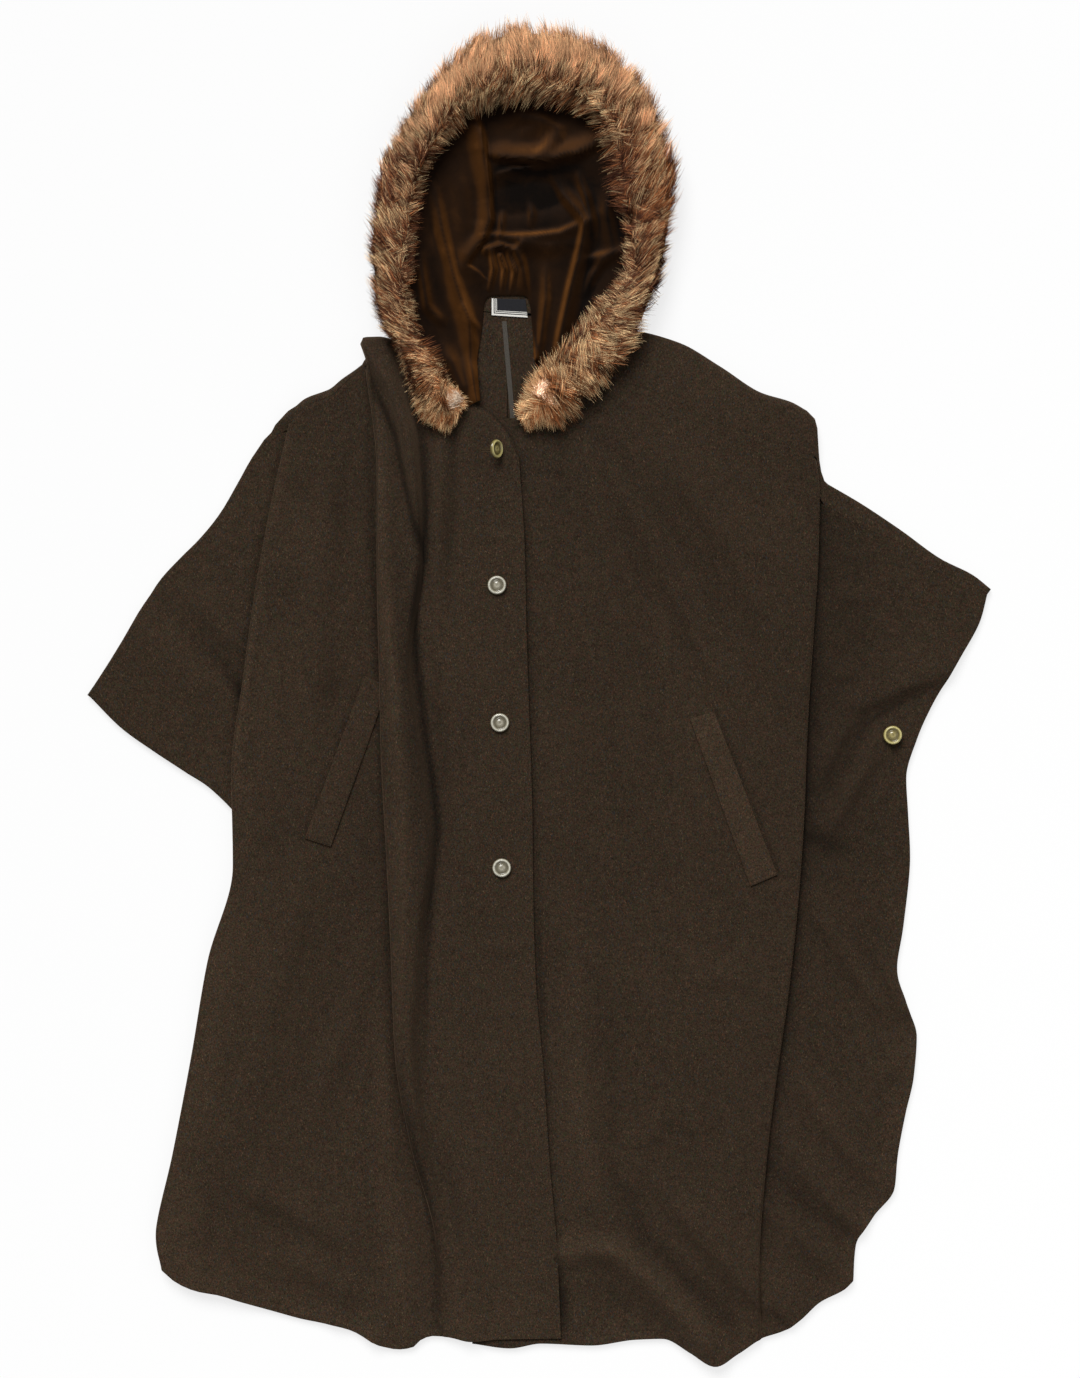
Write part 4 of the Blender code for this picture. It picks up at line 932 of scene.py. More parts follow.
def left_wraps():
    """Columns round the wearer's left shoulder edge, each beside a point of the front's top row."""
    columns = [neck_column(x) for x in LEFT_NECK_COLUMNS]
    columns += [turned_edge((x, y), (x, y - RISE_REACH), height, share) for x, y, height, share in LEFT_RISE]
    tops = [(x, y - SEAM_LAP, z, run) for x, y, z, run in left_rows[0]]
    columns += [turned_edge(place_at(LEFT_SHOULDER_EDGE, x), (x, y), z)
                for x, y, z, run in tops if run == "upper" and LEFT_SHOULDER[0] < x < LEFT_SHOULDER[1]]
    columns += [turned_edge(step[:2], step[2:4], step[4]) for step in LEFT_STEP]
    columns += [turned_edge(place_at(LEFT_SLEEVE_EDGE, x), (x, y), z)
                for x, y, z, run in tops if run == "side" and x > LEFT_SLEEVE_START]
    return columns


def right_wraps():
    """Columns round the wearer's right shoulder edge, each beside a point of the front's top row."""
    columns = [neck_column(x) for x in RIGHT_NECK_COLUMNS]
    columns += [turned_edge((x, y), (x, y - RISE_REACH), height, share) for x, y, height, share in RIGHT_RISE]
    steps = {"shoulder": STRIP_STEP, "sleeve": SLEEVE_STEP}
    for x, y, z, run in right_rows[0]:
        shown = z > STRIP_SHOWN if run == "strip" else x < RIGHT_SHOWN.get(run, -math.inf)
        if not shown:
            continue
        columns += [turned_edge(step[:2], step[2:4], step[4]) for step in steps.pop(run, ())]
        inwards = inward(RIGHT_TOP_LINES[run], x)
        bend = (z - FLOOR_LAYER) / 2
        seam = Vector((x, y)) - inwards * SHOULDER_GAP
        spread = SHOULDER_SPREAD * ease((SPREAD_FROM[0] - x) / SPREAD_FROM[1]) if run == "shoulder" else 0.0
        edge = seam - inwards * (bend + FLOOR_LAYER + SEAM_LIP + spread)
        columns.append(turned_edge(edge, seam, z))
    return columns


def back_rows(wraps, side, hem, centre_x):
    """Rows of a flat panel from the centre seam to the side. Its top edge turns up round the shoulder."""
    columns = [list(reversed(wrap)) for wrap in wraps]
    grid = [[column[k] for column in columns] for k in range(len(columns[0]))]
    floor_edge = grid[-1]
    first_x, first_y = floor_edge[0][:2]
    corner_x, corner_y = floor_edge[-1][:2]
    outer_way = 1 if corner_x > centre_x else -1
    for k in range(1, BACK_ROWS + 1):
        down = k / BACK_ROWS
        outer = place_at(side, down)
        centre_y = mix(first_y, on_line(hem, centre_x) + BACK_INSET, down)
        row = []
        for top_x, top_y, z in floor_edge:
            share = (top_x - first_x) / (corner_x - first_x)
            x = mix(centre_x, outer[0], share)
            above = top_y - mix(first_y, corner_y, share)
            y = mix(centre_y, outer[1], share) + above * (1 - down) ** TOP_FADE
            if k == BACK_ROWS:
                y = on_line(hem, x) + BACK_INSET
            row.append((x, y, FLOOR_LAYER))
        grid.append(row)
    return [[(outer_way * max(outer_way * x, outer_way * centre_x), y, z) for x, y, z in row] for row in grid]


LEFT_BACK_SIDE = dict(LEFT_SIDE, x=tuple(x - BACK_INSET for x in LEFT_SIDE["x"]))
RIGHT_BACK_SIDE = {
    "down": (0, 0.1, 0.2, 0.3, 0.4, 0.47, 0.6, 0.7, 0.8, 0.9, 1),
    "x": (-468, -434, -401, -368, -336, -315, -340, -357, -376, -394, -388),
    "y": (0, -31, -55, -77, -99, -150, -279, -379, -479, -562, -598),
}
back_left = cloth_shell(
    "back_left_cloth", back_rows(left_wraps(), LEFT_BACK_SIDE, LEFT_HEM, CENTRE_BACK_X - SEAM_LAP),
    WOOL, wool, "back_left")
back_right = cloth_shell(
    "back_right_cloth", back_rows(right_wraps(), RIGHT_BACK_SIDE, RIGHT_HEM, CENTRE_BACK_X + SEAM_LAP),
    WOOL, wool, "back_right")

# The hood, of two wool halves joined down the middle
# Each half lies on the table, turns up at its side and comes back over itself as the rim that carries
# the fur.
FUR = {
    "down": tuple(range(31)),
    "outer_x": (-99, -125, -139, -149, -166, -176, -177, -179, -175, -170, -159, -143, -122, -92, -62, -20,
                27, 69, 106, 124, 138, 144, 142, 138, 132, 122, 106, 82, 56, 22, -9),
    "outer_y": (273, 288, 328, 361, 382, 414, 445, 477, 508, 540, 571, 603, 634, 666, 689, 702,
                697, 678, 650, 618, 582, 540, 508, 477, 445, 414, 372, 337, 307, 278, 277),
    "inner_x": (-77, -84, -91, -101, -123, -129, -131, -129, -125, -120, -112, -99, -83, -64, -46, -20,
                6, 35, 54, 64, 70, 75, 89, 89, 80, 62, 48, 33, 9, -13, -24),
    "inner_y": (307, 312, 324, 349, 375, 401, 429, 454, 489, 529, 555, 571, 589, 605, 613, 617,
                616, 611, 599, 575, 548, 517, 496, 474, 435, 414, 395, 375, 351, 328, 300),
    "under": (11.6, 11.4, 11.2, 17.6, 17.8, 15.2, *(15.0,) * 21, 9.5, 8.6, 8.0, 8.0),
    "top": (24, 34, 38, 41, 42, 42, 42, 42, 42, 43, 44, 45, 46, 47, 48, 48,
            48, 48, 48, 47, 46, 45, 44, 43, 42, 42, 40, 38, 36, 33, 23),
}
HOOD_NECK = Vector((CENTRE_BACK_X, 398.0))
HOOD_HEIGHT = 13.2
HOOD_RIM = 0.62
HOOD_EDGE = 0.13
HOOD_FIRST = 5.0
HOOD_LAST = 25.6
HOOD_MIDDLE = 14.6
HOOD_NECK_HOLE = 0.02
HOOD_FLOOR_ROWS = 24
HOOD_RIM_ROWS = 6


def across_fur(station, share):
    """Point in plan at a share of the way from the fur's outer edge to its inner edge."""
    outer = Vector((at(FUR, "outer_x", station), at(FUR, "outer_y", station)))
    inner = Vector((at(FUR, "inner_x", station), at(FUR, "inner_y", station)))
    return outer + (inner - outer) * share


def hood_rows(first, last, columns):
    """Rows of one half of the hood, from the neck out to the edge, up and back in to the rim."""
    bend = (HOOD_HEIGHT - FLOOR_LAYER) / 2
    columns_of_hood = []
    for k in range(columns + 1):
        station = mix(first, last, k / columns)
        edge = across_fur(station, HOOD_EDGE)
        inwards = (HOOD_NECK - edge).normalized()
        foot = edge + inwards * bend
        column = []
        for step in range(HOOD_FLOOR_ROWS):
            place = HOOD_NECK + (foot - HOOD_NECK) * mix(HOOD_NECK_HOLE, 1.0, step / (HOOD_FLOOR_ROWS - 1))
            column.append((*place, FLOOR_LAYER))
        for step in range(1, TURN_STEPS + 1):
            angle = math.pi * step / TURN_STEPS
            place = edge + inwards * bend * (1 - math.sin(angle))
            column.append((*place, FLOOR_LAYER + bend * (1 - math.cos(angle))))
        rim = across_fur(station, HOOD_RIM)
        for step in range(1, HOOD_RIM_ROWS + 1):
            column.append((*(foot + (rim - foot) * step / HOOD_RIM_ROWS), HOOD_HEIGHT))
        columns_of_hood.append(column)
    return list(zip(*columns_of_hood))


hood_right = cloth_shell(
    "hood_right_cloth", hood_rows(HOOD_FIRST, HOOD_MIDDLE, 64), WOOL, wool, "hood_right")
hood_left = cloth_shell(
    "hood_left_cloth", hood_rows(HOOD_MIDDLE, HOOD_LAST, 72), WOOL, wool, "hood_left")

# The hood's lining, of brown velvet with a bronze shine, mostly painted highlight on its folds
# It is sewn in under the fur and to the neck. It is larger than the hood, so it lies in deep soft folds,
# and it falls open at the neck, where the inside of the back shows.
VELVET = 1.2
LINING = {
    "down": (0, 2, 4, 6, 8, 10, 13, 16, 19, 21, 23, 25, 27, 28.6),
    "x": (-62, -64, -65, -60, -57, -52, -43, -30, -20, -14, -10, -8, -6, -5),
    "y": (307, 331, 350, 382, 410, 417, 418, 418, 418, 417, 410, 395, 372, 352),
    "under_fur": (0.7, 0.7, 0.7, *(0.635,) * 9, 0.7, 0.7),
    "low": (10.3, 8.8, 5.5, *(3.4,) * 11),
    "high": (10.3, 9.4, 10.5, *(13.2,) * 9, 8.8, 7),
}
LINING_COLUMNS = 190
LINING_ROWS = 84
LINING_RISE = 1.4
CREASE_FADE = (6, 0.15)
VELVET_RELIEF = 1.5
VELVET_CREASES = photo_creases((
    (((478, 124, 3), (482, 136, 6), (489, 180, 6.5), (491, 222, 6), (484, 240, 5), (470, 258, 4),
      (466, 266, 2.5), (480, 275, 1)), 2.2, 11),
    (((436, 192, 1), (443, 232, 4), (452, 272, 5.5), (466, 312, 6), (476, 352, 6), (481, 400, 5)), 4.5, 9),
    (((452, 300, 0), (446, 268, -2), (434, 232, -1.5), (430, 200, 0)), 6, 6),
    (((486, 156, 1), (500, 160, 5.5), (520, 162, 6.5), (548, 163, 6.5), (577, 157, 6), (602, 145, 3)),
      13, 2.4),
    (((498, 176, 1), (514, 171, 2.5), (536, 167, 2.5), (560, 168, 1)), 2.5, 3),
    (((502, 200, -3.5), (530, 196, -4.5), (560, 192, -3.5), (584, 186, -1)), 20, 18),
    (((490, 236, 2), (512, 238, 3.5), (536, 237, 4), (560, 234, 3.5), (582, 224, 2)), 3, 8),
    (((553, 180, 1), (562, 196, 4), (574, 210, 4.5), (585, 224, 5.5), (580, 250, 5.5), (570, 290, 5),
      (560, 336, 4), (556, 360, 2)), 9, 3.5),
    (((578, 178, 1), (586, 200, 3), (592, 222, 2), (594, 244, 0)), 5, 3),
    (((520, 245, 1), (524, 272, 4.5), (527, 300, 5.5), (531, 330, 5.5), (535, 360, 4)), 3, 9),
    (((524, 246, 4), (548, 248, 3), (572, 244, 1)), 6, 8),
    (((546, 262, 0), (546, 300, 2.4), (541, 340, 2), (538, 366, 0)), 4, 5),
    (((420, 250, 0), (424, 282, 2.5), (428, 308, 3), (440, 320, 2), (448, 322, 0)), 4, 5),
    (((464, 308, 1), (472, 322, 3), (482, 331, 3)), 3, 4),
    (((582, 262, 1), (600, 258, 3), (622, 252, 2)), 4, 7),
    (((584, 300, 0), (592, 278, 2.2), (602, 264, 2), (612, 258, 0)), 5, 4),
    (((535, 118, 0), (556, 130, 1.5), (548, 146, 2.4), (538, 158, 1)), 4, 4),
    (((566, 120, 0), (560, 138, 2), (548, 154, 1)), 3, 4),
    (((500, 122, 0), (520, 118, 2), (542, 124, 2), (520, 138, 0.5)), 8, 8),
    (((492, 254, 3), (494, 270, 3.5), (490, 290, 2.5)), 2.6, 2.6),
    (((500, 256, 3), (505, 270, 3.5), (502, 292, 2.5)), 2.4, 2.4),
    (((509, 256, 2.5), (515, 272, 3.2), (511, 293, 2.2)), 2.2, 2.4),
    (((486, 251, 3), (500, 247, 4.5), (515, 252, 4), (520, 262, 2)), 4, 4),
    (((612, 180, 0), (606, 214, 2.6), (612, 246, 1.5)), 6, 7),
    (((522, 180, 0), (529, 198, 2.2), (532, 216, 2), (530, 230, 0)), 4, 3),
    (((504, 196, 0), (502, 224, 1.8), (500, 238, 1)), 2.4, 2.6),
    (((452, 160, 0), (462, 190, 1.6), (466, 226, 2), (460, 262, 0)), 10, 12),
    (((440, 340, 0), (452, 362, 1.6), (462, 388, 1.6)), 6, 7),
))
# Painted shade and highlight on the velvet, as lines of (x, y, amount) where it is coloured darker or lighter
VELVET_PAINTED_SHADING = photo_creases((
    (((462, 150, 0.1), (452, 200, 0.16), (450, 260, 0.18), (462, 330, 0.18), (474, 396, 0.14)), 22, 20),
    (((500, 132, 0.14), (540, 136, 0.18), (588, 132, 0.12)), 16, 20),
    (((482, 150, 0.12), (487, 200, 0.14), (480, 244, 0.1)), 8, 12),
    (((515, 190, -0.1), (545, 204, -0.12), (575, 196, -0.08)), 18, 18),
    (((498, 262, 0.1), (512, 282, 0.12), (510, 300, 0.06)), 12, 12),
    (((548, 250, 0.1), (546, 300, 0.1), (540, 350, 0.06)), 16, 16),
    (((600, 190, -0.08), (612, 230, -0.08)), 14, 14),
    (((445, 262, -0.08), (458, 300, -0.08), (468, 352, -0.08)), 4, 4),
    (((484, 126, -0.12), (493, 180, -0.18), (495, 224, -0.16), (492, 244, -0.08)), 3, 3),
    (((590, 200, -0.12), (591, 240, -0.18), (588, 290, -0.14), (578, 350, -0.08)), 5, 5),
    (((500, 168, -0.16), (540, 174, -0.2), (575, 168, -0.14)), 4, 5),
    (((432, 262, -0.1), (440, 300, -0.12), (452, 340, -0.1)), 6, 6),
))
velvet, tree, velvet_shader = new_finish(
    "brown_velvet", Roughness=0.6, Specular_IOR_Level=0.04, Sheen_Weight=0.16, Sheen_Roughness=0.25,
    Sheen_Tint=(0.50, 0.24, 0.06, 1))
velvet_place = place_in(tree)
brushed = noise(tree, velvet_place, 55.0, 4.0, Roughness=0.6, Distortion=0.6)
# The painted highlight, with a little random brushing, picks the velvet's colour from the ramp
shine = reckoned(tree, "ADD", layer_value(tree, "painted_pile_highlight"), ranged(tree, brushed, 0.3, 0.7, -0.05, 0.07))
velvet_colour = ramp(tree, shine, (0.04, (0.0030, 0.0014, 0.0006)), (0.30, (0.0175, 0.0070, 0.0021)),
                     (0.60, (0.056, 0.0212, 0.0052)), (1.0, (0.190, 0.072, 0.0180)))
tree.links.new(velvet_colour, velvet_shader.inputs["Base Color"])
bumped(tree, velvet_shader, noise(tree, velvet_place, 1500.0, 2.0), 0.3, 0.0003)

lining_rows = []
lining_fades = []
for r in range(LINING_ROWS + 1):
    share = r / LINING_ROWS
    row = []
    for k in range(LINING_COLUMNS + 1):
        station = LINING["down"][-1] * k / LINING_COLUMNS
        inner = Vector(place_at(LINING, station))
        outer = across_fur(station, at(LINING, "under_fur", station))
        height = mix(at(LINING, "low", station), at(LINING, "high", station), share ** LINING_RISE)
        row.append([*(inner + (outer - inner) * share), height])
        lining_fades.append(ease(min(share, 1 - share) * CREASE_FADE[0] + CREASE_FADE[1]))
    lining_rows.append(row)
lining_points = [point for row in lining_rows for point in row]
lining_lifts = crease_lift(VELVET_CREASES, np.array([point[:2] for point in lining_points]))
for point, lift, fade in zip(lining_points, lining_lifts, lining_fades):
    point[2] = max(FLOOR_LAYER + WOOL / 2 + VELVET, point[2] + VELVET_RELIEF * lift * fade)
lining = cloth_shell("hood_lining_velvet", lining_rows, VELVET, velvet, "hood_lining", edge=0.4)
# Painted highlight: the pile is coloured nearly black where it faces up and bronze where a fold slopes, most
# where it faces the light's way
LIGHT_WAY = (-0.35, 0.94)
SHINE_FROM_SLOPE = (0.04, 1.05)
SHINE_SHARES = (0.62, 0.38)
LEAST_SHINE = 0.115
point_count = len(lining.data.vertices)
lining_normals = np.zeros(point_count * 3)
lining.data.vertex_normals.foreach_get("vector", lining_normals)
lining_normals = lining_normals.reshape(-1, 3)
lining_normals *= np.sign(lining_normals[:, 2:3] + 1e-9)
steep = np.hypot(lining_normals[:, 0], lining_normals[:, 1])
lit = (lining_normals[:, 0] * LIGHT_WAY[0] + lining_normals[:, 1] * LIGHT_WAY[1]) / (steep + 1e-6)
lining_places = np.zeros(point_count * 3)
lining.data.vertices.foreach_get("co", lining_places)
painted_velvet_shading = crease_lift(VELVET_PAINTED_SHADING, lining_places.reshape(-1, 3)[:, :2] / MM)
painted_highlight_values = (np.clip((steep - SHINE_FROM_SLOPE[0]) / SHINE_FROM_SLOPE[1], 0, 1)
               * (SHINE_SHARES[0] + SHINE_SHARES[1] * lit) + LEAST_SHINE + painted_velvet_shading)
painted_highlight_layer = lining.data.attributes.new("painted_pile_highlight", "FLOAT", "POINT")
painted_highlight_layer.data.foreach_set("value", painted_highlight_values.astype(np.float32))

# The fur trim round the hood's mouth
# It is a strip of long-haired fur on its pelt, sewn round the rim. The hair leans outwards and up the hood,
# parts at two bare spots near the ends, and shades from brown roots to cream tips.
LAST_STATION = FUR["down"][-1]
PELT_SHARE = 0.60
PELT_UNDER = 0.85
PELT_MIDDLE = 0.35
PELT_SIDES = 16
PELT_STEPS = 160
PELT_INSET = 0.25
PELT_END = (0.06, 6)
# The bare spots: place, how white the hair is there, and how far off the hair turns away from them
SPOTS = (((-90.0, 308.0), 0.5, 17.0), ((10.0, 313.0), 1.0, 25.0))
BARE_SKIN = (0.95, 0.78, 0.58, 1)


def fur_section(station):
    """The strip's middle, its outward half width, and its lowest, middle and highest levels."""
    outer = across_fur(station, 0)
    inner = Vector((at(FUR, "inner_x", station), at(FUR, "inner_y", station)))
    under = at(FUR, "under", station)
    top = at(FUR, "top", station)
    return (outer + inner) / 2, (outer - inner) / 2, under, mix(under, top, PELT_MIDDLE), top


under_fur, tree, under_shader = new_finish("under_fur", Roughness=0.95, Specular_IOR_Level=0.05)
# The pelt shows pale where the hair parts at the bare spots
seen_from_above = node(tree, "ShaderNodeMapping", Vector=place_in(tree), Scale=(1.0, 1.0, 0.0)).outputs[0]
pelt_colour = ramp(tree, noise(tree, place_in(tree), 260.0, 4.0), (0.0, (0.010, 0.004, 0.003)),
                   (1.0, (0.085, 0.036, 0.022)))
for (spot_x, spot_y), white_share, reach in SPOTS:
    gap = node(tree, "ShaderNodeVectorMath", set_operation="DISTANCE", i0=seen_from_above,
               i1=(spot_x * MM, spot_y * MM, 0.0)).outputs["Value"]
    pelt_colour = mixed(tree, ranged(tree, gap, 0.006, 0.014, white_share, 0.0), pelt_colour, BARE_SKIN)
tree.links.new(pelt_colour, under_shader.inputs["Base Color"])

bm = bmesh.new()
loops = []
for step in range(PELT_STEPS + 1):
    station = mix(PELT_INSET, LAST_STATION - PELT_INSET, step / PELT_STEPS)
    middle, half, under, centre_z, top = fur_section(station)
    from_end = min(step, PELT_STEPS - step) / PELT_STEPS
    size = math.sin(math.pi * min(0.5, PELT_END[0] + PELT_END[1] * from_end)) ** 0.5
    ring = []
    for k in range(PELT_SIDES):
        angle = 2 * math.pi * k / PELT_SIDES
        place = middle + half * math.cos(angle) * PELT_SHARE * size
        lift = math.sin(angle)
        reach = (top - centre_z) * PELT_SHARE if lift > 0 else (centre_z - under) * PELT_UNDER
        ring.append(bm.verts.new(Vector((place.x, place.y, centre_z + reach * lift * size)) * MM))
    loops.append([bm.edges.new((ring[k], ring[(k + 1) % PELT_SIDES])) for k in range(PELT_SIDES)])
for one, two in zip(loops, loops[1:]):
    bmesh.ops.bridge_loops(bm, edges=one + two)
bmesh.ops.holes_fill(bm, edges=loops[0] + loops[-1], sides=PELT_SIDES)
bmesh.ops.recalc_face_normals(bm, faces=bm.faces)
covers(made_piece("fur_pelt", bm, under_fur), "fur_trim")

hair, tree, hair_shader = new_finish("fur_hair", Roughness=0.7, Specular_IOR_Level=0.05)
hair_colour = node(tree, "ShaderNodeAttribute", set_attribute_name="hair_colour")
tree.links.new(hair_colour.outputs["Color"], hair_shader.inputs["Base Color"])

# Colours of the hair, as linear values: at the root, in the middle and at the tip. The cream and straw tips
# above one are painted light against the shade among the hairs.
BROWN, CREAM, TAN, RUST, STRAW = range(5)
HAIR_COLOURS = np.array((
    ((0.007, 0.0028, 0.0022), (0.072, 0.0255, 0.0150), (0.185, 0.072, 0.037)),
    ((0.012, 0.005, 0.0036), (0.265, 0.114, 0.056), (1.28, 0.94, 0.50)),
    ((0.110, 0.048, 0.024), (0.67, 0.335, 0.166), (0.95, 0.56, 0.30)),
    ((0.060, 0.020, 0.009), (0.36, 0.120, 0.040), (0.58, 0.225, 0.085)),
    ((0.090, 0.036, 0.015), (0.46, 0.19, 0.072), (1.35, 1.00, 0.54)),
))
# The bare spots' hair at root, middle and tip; the root above one is painted light against the shade among
# the blades
SPOT_COLOURS = np.array(((1.8, 1.52, 1.18), (0.66, 0.33, 0.155), (0.74, 0.40, 0.18)))
# Stretches of the strip with colours of their own: middle station, reach and how sharply it ends
OUTER_TOP = (14.8, 4.6, 4)
INNER_TOP = (15.0, 4.0, 4)
RIGHT_SIDE = (21.0, 2.6, 2)
LOWER_RIGHT = (26.5, 2.4, 2)
FIRST_END = (0.0, 3.0, 2)
LAST_END = (LAST_STATION, 2.9, 2)
# On the outer side or the inner side of the strip only: a slope and a start across it
OUTER_SIDE = (2.2, 0.35)
INNER_SIDE = (-2.0, -0.5)
# How many of the hairs are of each kind, everywhere and in patches or stretches
PALE_BASE = 0.16
PALE_PATCHES = 0.36
PATCH_POWER = 1.5
PALE_INNER_TOP = 0.40
PALE_LOWER_RIGHT = 0.24
PALE_LOST_RIGHT = 0.10
LOST_TO = 0.2
# Painted shade: deep tufts get fewer pale hairs
PALE_LOST_DEEP = 0.36
PALE_SHARES = (0.05, 0.8)
CREAM_SHARE = 0.9
RUST_BASE = 0.14
RUST_PATCHES = 0.14
RUST_STRETCHES = 0.42
NOT_TAN = 0.10
STRAW_SHARE = 0.52
# Painted shade: the share by which deep tufts are coloured darker
SHADE_DEEP = 0.5
# Share of the hairs at a spot with the first of the two amounts of white at their tips
SPOT_TIPS = (0.55, 0.15, 0.85)
TUFT_TONE = 0.24
CLUMP_TONE = 0.24
STRAND_TONE = 0.26
TONE_LIMITS = (0.3, 1.9)
# By station: where the hair parts across the strip, and the lean in degrees of the hair along its run
PARTING = ((0, 3, 8, 12, 15, 18, 22, 26, 28, 30), (0, -0.4, -0.55, -0.5, -0.35, -0.45, -0.5, -0.1, 0, 0))
OUTER_LEAN = (
    (0, 2, 5, 9, 13, 15, 17, 20, 24, 26, 28, 30), (-42, -25, 30, 38, 20, 0, -18, -34, -40, -20, 10, 30))
INNER_LEAN = ((0, 3, 7, 11, 14, 17, 20, 24, 27, 30), (-38, -10, 30, 20, -35, -30, -25, -35, -40, 22))
# Tufts and hairs: sizes in millimetres, turns in degrees, and shares of the strip's half width
STRANDS_TO_A_TUFT = 26
SEGMENTS = 2
HAIR_WIDTH = 0.52
HAIR_LENGTH = (20.0, 31.0)
LENGTH_CHANGE = (0.8, 1.15)
DEPTH_POWER = 1.45
DEEPEST = 9.0
TUFT_TURN = 8.0
WAVE_TURN = 13.0
TURN_WAVE = (2.3, 1.9, 2.2, 0.9)
CLUMP_WAVE = (7.3, 2.0, 5.1, 2.2)
PATCH_WAVE = (3.1, 1.3, 1.7, 2.6)
STRAND_TURN = 5.0
PARTING_SPREAD = 0.10
STATION_SPREAD = 0.08
TIP_SPREAD = 0.085
WISPS = 0.36
WISP_FROM = 0.78
WISP_LENGTH = (0.92, 1.30)
END_REACH = 0.5
PAST_END = (-1.0, 8.0)
TIP_CHANGE = (-1.0, 1.2)
LOW_FROM = 0.72
LOWEST_TIP = 1.0
LOW_BAND = 2.0
ROOT_SPREAD = 1.3
ROOT_MARGIN = 0.05
ROOT_SINK = 0.92
ARCH = 4.0
ARCH_LOST_DEEP = 8.0
BEND_SPREAD = 1.4
WHORL = 30.0
WHORL_PULL = 2.2
SPOT_CLEAR = 9.0
SPOT_FAR = 40
SPOT_CHANGE = (0.75, 1.1)
SPOT_SPREAD = (4.2, 2.6)
SPOT_ROOT_LEVEL = 0.58
SPOT_TIP_LEVEL = (0.72, 0.012)
HOLD = 0.14
SPOT_HOLD = 0.05
SPOT_FAN = (0.18, 4)
SPOT_ARCH = 2.0
BLADE_SPACING = 1.15
BLADE_ROLL = 1.1
# Along a blade from root to tip: its width as a share of the widest
TAPER = ((0, 0.35, 0.75, 1.0), (0.75, 1.0, 0.7, 0.10))
MIDDLE_COLOUR_AT = 0.55
SPOT_MIDDLE_AT = 0.34
STATION_STEPS = 600
sections = [fur_section(station) for station in np.linspace(0.0, LAST_STATION, STATION_STEPS + 1)]
section_middle = np.array([tuple(s[0]) for s in sections])
section_half = np.array([tuple(s[1]) for s in sections])
section_levels = np.array([s[2:] for s in sections])


def column_of(values):
    return values[:, None]


def unit(vectors, least=1e-9):
    return vectors / (column_of(np.linalg.norm(vectors, axis=1)) + least)


def dome(share):
    """Height of a round section at a share of its half width, as a share of its own height."""
    return np.sqrt(np.clip(1 - np.minimum(np.abs(share), 1.0) ** 2, 0, 1))


def stretch(station, middle, reach, power):
    """One in the middle of a stretch of the strip, falling off to nothing past its reach."""
    return np.exp(-((station - middle) / reach) ** power)


def wavy(station, tip, wave):
    return np.sin(station * wave[0] + wave[1] * np.sin(tip * wave[2] + station * wave[3]))


run_along = unit(np.gradient(section_middle, axis=0), 0.0)


def on_strip(station, across):
    """Places in plan, half widths, levels and headings of the strip at stations and shares across it."""
    index = np.clip(station, 0.0, LAST_STATION) / LAST_STATION * STATION_STEPS
    low = np.clip(index.astype(int), 0, STATION_STEPS - 1)
    part = column_of(index - low)
    middle, half, levels = (values[low] * (1 - part) + values[low + 1] * part
                            for values in (section_middle, section_half, section_levels))
    return middle + half * column_of(across), half, levels.T, run_along[low]


